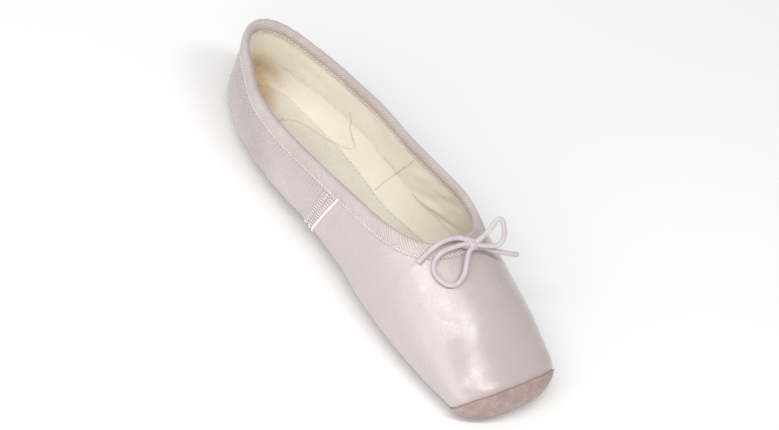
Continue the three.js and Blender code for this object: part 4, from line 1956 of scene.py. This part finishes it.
@dataclass
class Outsole:
    """The leather sole, rounded at its lower edge and fitted to the form's underside."""

    last: Last
    long_steps: int = 150
    edge_radius: float = 0.9
    top_radius: float = 0.25
    sunk: float = 0.05

    def ring(self, x: float, half: float) -> tuple[Array, Array]:
        """The outsole's cross section.

        Args:
            x: Section, mm.
            half: Half width there, mm.

        Returns:
            Points of the right half from the bottom's middle to the top's, mm, and the distance
            of each from the edge.
        """
        bottom = float(ARCH(np.array([x]))[0])
        radius = min(self.edge_radius, half / 2 + 1e-4)
        under = self.last.place(x, across_angles(120)[:121], GAP)[:, 1:]
        turn = np.linspace(0, HALF_TURN, 7)
        flat_y = np.linspace(0, half - radius, 26)[:-1]
        top_y = np.linspace(half - self.top_radius, 0, 14)[1:]
        corner = np.interp(half, *under.T) - self.sunk - self.top_radius
        y = np.concatenate([flat_y, half - radius + radius * np.sin(turn),
                            half - self.top_radius * (1 - np.cos(turn)), top_y])
        z = np.concatenate([np.full_like(flat_y, bottom), bottom + radius * (1 - np.cos(turn)),
                            corner + self.top_radius * np.sin(turn),
                            np.interp(top_y, *under.T) - self.sunk])
        gaps = np.concatenate([np.maximum(half - flat_y, 0), radius * (1 - np.sin(turn)),
                               np.zeros_like(turn), np.full_like(top_y, 0.5)])
        return np.stack([np.full_like(y, x), y, z], axis=1), gaps

    def build(self, palette: Palette) -> None:
        """Makes the sole and dresses it.

        Args:
            palette: The finishes.
        """
        heel, toe = SOLE_ENDS
        x = eased_sections(heel, toe, self.long_steps + 1)
        halves = sole_outline(x, 0)
        halves[[0, -1]] = 0
        rings, gaps = [], []
        for place, half in zip(x, halves):
            right, gap = self.ring(float(place), float(half))
            left = right[::-1] * MIRROR
            rings.append(np.concatenate([right, left[1:]]))
            gaps.append(np.concatenate([gap, gap[::-1][1:]]))
        points = np.array(rings)
        ends = np.minimum(np.array(gaps), np.minimum(x - heel, toe - x)[:, None])
        piece = lay_grid("leather_outsole", self.last.frame(points), points[..., :2] * MM,
                         {"edge_distance": ends * MM})
        weld(piece, reach=2e-6)
        smooth(piece, 50)
        dress(piece, palette[Finish.SOLE])
        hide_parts("outsole")


@dataclass
class Insole:
    """The canvas-covered insole, the heel lining's edge, and the seams that show inside."""

    last: Last
    lining: CanvasLining
    thickness: float = 1.5
    board_ends: tuple[float, float] = (10.0, 226.0)
    board_height: float = 1.6
    stitched: tuple[float, float] = (62.0, 200.0)
    stitch_pitch: float = 2.9
    thread: float = 0.2
    seam_radius: float = 0.34
    heel_edge: tuple[tuple[float, float, float], ...] = (
        (36.0, -4.0, 6.6), (37.0, 1.1, 6.6), (37.9, 5.2, 6.6), (39.9, 8.5, 6.6), (43.5, 11.6, 6.6),
        (46.8, 13.1, 6.6), (51.4, 14.7, 6.7), (56.0, 16.0, 7.0), (60.4, 18.1, 7.3),
        (65.0, 20.4, 7.9),
        (68.1, 22.3, 8.8), (69.9, 23.6, 9.6), (69.6, 24.9, 10.4), (68.2, 25.5, 10.8),
        (66.1, 26.2, 11.2),
        (62.7, 27.0, 11.9), (59.8, 27.8, 13.0), (58.1, 28.6, 14.3), (57.0, 29.1, 17.2),
        (54.0, 28.8, 21.0))
    cross_seam: tuple[tuple[float, float, float], ...] = (
        (96.9, 17.6, 8.6), (96.1, 20.9, 9.5), (95.6, 24.0, 11.0), (95.8, 26.6, 13.3),
        (96.7, 28.4, 16.2), (97.9, 29.2, 19.5), (99.8, 29.1, 24.0), (101.9, 28.8, 28.5),
        (104.4, 27.9, 34.6))

    def board(self, palette: Palette) -> None:
        """Makes the board in its canvas cover.

        Args:
            palette: The finishes.
        """
        heel, toe = self.board_ends
        x = eased_sections(heel, toe, 141)
        halves = INSOLE_HALF(x) * Rounding(16, 2.1).at(x - heel) * Rounding(18, 2.4).at(toe - x)
        halves[[0, -1]] = 0
        across = np.linspace(-1, 1, 61)[::-1]
        points = np.stack(np.broadcast_arrays(
            x[:, None], halves[:, None] * across[None, :],
            over_seat(x, self.board_height)[:, None]), axis=-1).copy()
        inside = halves[:, None] * (1 - np.abs(across))[None, :]
        points[..., 2] -= 0.7 * np.exp(-((inside / 0.8) ** 2))
        points[..., 2] += 0.25 * np.sin(points[..., 0] / 11) * np.cos(points[..., 1] / 9)
        piece = lay_grid("insole_board", self.last.frame(points), points[..., :2] * MM)
        finish_sheet(piece, self.thickness, outwards=False)
        dress(piece, palette[Finish.SOCK])
        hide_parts("insole")
        self.edge_stitches(palette, x, halves)

    def edge_stitches(self, palette: Palette, x: Array, halves: Array) -> None:
        """Makes the stitches along the insole's edge.

        Args:
            palette: The finishes.
            x: Sections of the board, mm.
            halves: Its half widths, mm.
        """
        keep = (x > self.stitched[0]) & (x < self.stitched[1])
        line = np.stack([x[keep], halves[keep] - 1.3,
                         over_seat(x[keep], self.board_height) + 0.12], axis=1)
        rows = StitchRows(0.7)
        rows.add(line, np.broadcast_to([0.0, 0.0, 0.2], line.shape),
                 np.arange(1.5, lengths_along(line)[-1] - 2, self.stitch_pitch))
        dress(rows.make("insole_stitches", self.last, self.thread), palette[Finish.HEM])

    def build(self, palette: Palette) -> None:
        """Makes the insole and the seams.

        Args:
            palette: The finishes.
        """
        self.board(palette)
        for name, places in (("heel_lining_edge", self.heel_edge), ("lining_seam", self.cross_seam)):
            line = self.lining.settle(smooth_path(places, 0.7))
            parts = [make_tube(f"{name}_{side.name.lower()}", self.last,
                               line * np.array([1, side.value, 1]), self.seam_radius, 6)
                     for side in Side]
            dress(join(name, parts), palette[Finish.HEM])


@dataclass
class Bow:
    """The two ends of the drawstring, tied in a small bow on the throat."""

    last: Last
    diameter: float = 2.5
    spacing: float = 0.55
    sides: int = 14
    easing: int = 9
    wrap_end: float = 4.15 * math.pi
    wrap_reach: float = 1.95
    wrap_radius: float = 1.1
    centre: tuple[float, float, float] = (174.8, 2.4, 55.1)
    near_cord: tuple[tuple[float, float, float], ...] = (
        (171.2, -2.2, 53.6), (172.8, -0.4, 53.8), (174.6, 1.8, 54.0), (176.0, 3.4, 54.6),
        (176.2, 3.6, 55.8), (175.0, 2.0, 56.4), (173.6, -1.2, 56.0), (172.6, -5.8, 55.0),
        (172.0, -13.0, 53.3), (173.0, -16.8, 50.7), (175.6, -19.0, 48.4),
        (179.1, -19.2, 46.5), (183.9, -17.4, 45.4), (186.4, -14.8, 45.3), (187.0, -11.6, 46.1),
        (185.0, -7.0, 48.1), (181.2, -3.4, 50.7), (177.8, -0.8, 53.6), (176.4, 1.6, 54.6),
        (176.0, 3.6, 55.4), (175.2, 4.4, 56.5), (174.0, 3.2, 57.3), (172.6, 0.4, 57.8),
        (170.4, -3.0, 58.0),
        (169.2, -7.2, 57.8), (168.4, -12.5, 55.8), (168.4, -17.8, 52.0), (169.4, -23.3, 48.1))
    far_cord: tuple[tuple[float, float, float], ...] = (
        (171.2, 3.2, 53.3), (172.8, 2.6, 54.2), (174.2, 2.6, 55.2), (175.2, 4.0, 56.6),
        (175.6, 7.6, 60.2), (175.6, 10.7, 64.4), (175.0, 12.9, 68.6), (175.2, 14.4, 70.2),
        (176.8, 15.9, 68.6), (179.2, 16.7, 64.2), (181.0, 16.4, 59.8), (181.2, 14.2, 57.0),
        (179.2, 10.4, 56.0), (176.8, 5.6, 56.0), (175.2, 2.4, 56.1), (174.2, 0.6, 55.4),
        (174.0, 0.6, 54.2), (175.2, 3.2, 53.5), (177.0, 9.6, 53.0), (179.9, 14.3, 51.8),
        (181.9, 18.6, 50.8),
        (184.0, 23.0, 50.1), (185.4, 26.4, 49.7))

    def cord(self, name: str, places: tuple[tuple[float, float, float], ...],
             palette: Palette) -> tuple[bpy.types.Object, Array, float]:
        """Makes one cord.

        Args:
            name: Its name.
            places: Places along it, mm.
            palette: The finishes.

        Returns:
            The piece, its line in the frame and its length, m.
        """
        line = smooth_path(places, self.spacing)
        for _ in range(self.easing):
            line[1:-1] = (line[:-2] + 2 * line[1:-1] + line[2:]) / 4
        length = float(np.linalg.norm(np.diff(line, axis=0), axis=1).sum()) * MM
        piece = make_tube(name, self.last, line, self.diameter / 2, self.sides)
        dress(piece, palette[Finish.CORD])
        return piece, self.last.frame(line), length

    def knot(self, palette: Palette) -> bpy.types.Object:
        """Makes the turns of the knot.

        Args:
            palette: The finishes.

        Returns:
            The piece.
        """
        turn = np.linspace(-0.6, self.wrap_end, 90)
        share = np.linspace(-1, 1, 90)
        radius = self.wrap_reach + 0.25 * np.abs(share) ** 3
        x, y, z = self.centre
        line = np.stack([x + radius * np.cos(turn) * 0.95, y + 1.15 * share + 0.35 * np.cos(turn),
                         z + 0.15 + radius * np.sin(turn)], axis=1)
        piece = make_tube("bow_wraps", self.last, line, self.wrap_radius, 12)
        dress(piece, palette[Finish.CORD])
        return piece

    def build(self, palette: Palette) -> None:
        """Args:
            palette: The finishes.
        """
        wraps = self.knot(palette)
        near, near_line, near_length = self.cord("bow_cord_near", self.near_cord, palette)
        far, far_line, far_length = self.cord("bow_cord_far", self.far_cord, palette)
        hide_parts("bow_loop_left", "bow_end_left", "bow_knot")
        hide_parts("bow_loop_right", "bow_end_right")
        LOG.info("cords %.1f and %.1f mm long", near_length / MM, far_length / MM)


@dataclass(frozen=True)
class Lamp:
    """A soft light that faces the shoe.

    Args:
        name: Its name.
        toward: Direction of the light from the shoe.
        distance: Its distance, m.
        size: Its two sides, m.
        power: Its power, W.
        along: Direction of its first side.
    """

    name: str
    toward: tuple[float, float, float]
    distance: float
    size: tuple[float, float]
    power: float
    along: tuple[float, float, float]


@dataclass
class Studio:
    """The floor, the lights and the camera."""

    lamps: tuple[Lamp, ...] = (
        Lamp("key", (0.14, -0.47, 0.87), 1.3, (1.12, 0.10), 6.3, (0.42, 0.66, 0.31)),
        Lamp("toe", (0.47, 0.08, 0.88), 1.3, (0.46, 0.20), 3.2, (0.12, 0.28, -0.08)),
        Lamp("side", (0.25, -0.90, 0.38), 2.3, (3.2, 2.0), 30.0, (1.0, 0.3, 0.0)))
    surroundings: float = 0.51
    azimuth: float = 36.8
    elevation: float = 43.0
    roll: float = -23.3
    distance: float = 1.525
    lens: float = 142.9
    target: tuple[float, float, float] = (0.0, 0.0, 0.022)
    aside: tuple[float, float] = (0.0040, -0.0006)

    def camera(self) -> None:
        """Places the camera."""
        a, e, r = (math.radians(v) for v in (self.azimuth, self.elevation, self.roll))
        back = Vector((math.sin(a) * math.cos(e), -math.cos(a) * math.cos(e), math.sin(e)))
        right = Vector((math.cos(a), math.sin(a), 0.0))
        up = back.cross(right)
        across = right * math.cos(r) - up * math.sin(r)
        above = right * math.sin(r) + up * math.cos(r)
        place = Vector(self.target) + across * self.aside[0] + above * self.aside[1]
        place += back * self.distance
        data = bpy.data.cameras.new("camera")
        data.lens, data.sensor_width = self.lens, 36.0
        camera = bpy.data.objects.new("camera", data)
        bpy.context.scene.collection.objects.link(camera)
        turn = Matrix((across, above, back)).transposed().to_4x4()
        camera.matrix_world = Matrix.Translation(place) @ turn
        bpy.context.scene.camera = camera

    def light(self, lamp: Lamp) -> None:
        """Places one light.

        Args:
            lamp: The light.
        """
        data = bpy.data.lights.new(lamp.name, "AREA")
        data.shape, data.energy = "RECTANGLE", lamp.power
        data.size, data.size_y = lamp.size
        placed = bpy.data.objects.new(lamp.name, data)
        bpy.context.scene.collection.objects.link(placed)
        back = Vector(lamp.toward).normalized()
        side = Vector(lamp.along)
        side = (side - back * side.dot(back)).normalized()
        turn = Matrix((side, back.cross(side), back)).transposed().to_4x4()
        placed.matrix_world = Matrix.Translation(back * lamp.distance + Vector(self.target)) @ turn

    def floor(self) -> None:
        """Lays the pale floor and sets the pale surroundings."""
        clear_selection()
        bpy.ops.mesh.primitive_plane_add(size=12.0, location=(0, 0, -0.0002))
        floor = bpy.context.object
        floor.name = "floor"
        material, nodes = new_material("pale_floor")
        place = nodes.add("ShaderNodeTexCoord").outputs["Object"]
        shade = nodes.span(nodes.noise(place, 3.0, 2.0), 0.2, 0.8, 0.93, 0.95)
        colour = nodes.add("ShaderNodeCombineColor", {"Red": shade, "Green": shade, "Blue": shade})
        nodes.surface({"Base Color": colour.outputs["Color"], "Roughness": 0.8,
                       "Specular IOR Level": 0.2})
        floor.data.materials.append(material)
        world = bpy.data.worlds.new("studio")
        world.use_nodes = True
        background = world.node_tree.nodes["Background"].inputs
        background["Color"].default_value = (1.0, 0.995, 0.985, 1.0)
        background["Strength"].default_value = self.surroundings
        bpy.context.scene.world = world

    def build(self) -> None:
        """Makes the whole studio."""
        self.camera()
        self.floor()
        for lamp in self.lamps:
            self.light(lamp)
        bpy.context.scene.view_settings.view_transform = "Standard"


def main() -> None:
    """Builds the shoe and its studio."""
    logging.basicConfig(level=logging.INFO, format="%(message)s")
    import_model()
    last = Last(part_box("upper")[0].x)
    collar = Collar(last, 300)
    Studio().build()
    palette = Palette()
    Bow(last).build(palette)
    SatinUpper(last, collar).build(palette)
    lining = CanvasLining(last, collar)
    lining.build(palette)
    Casing(last, collar).build(palette)
    SideSeams(last, collar).build(palette)
    HeelTape(last, collar).build(palette)
    ToeTip(last).build(palette)
    Outsole(last).build(palette)
    Insole(last, lining).build(palette)


if __name__ == "__main__":
    main()
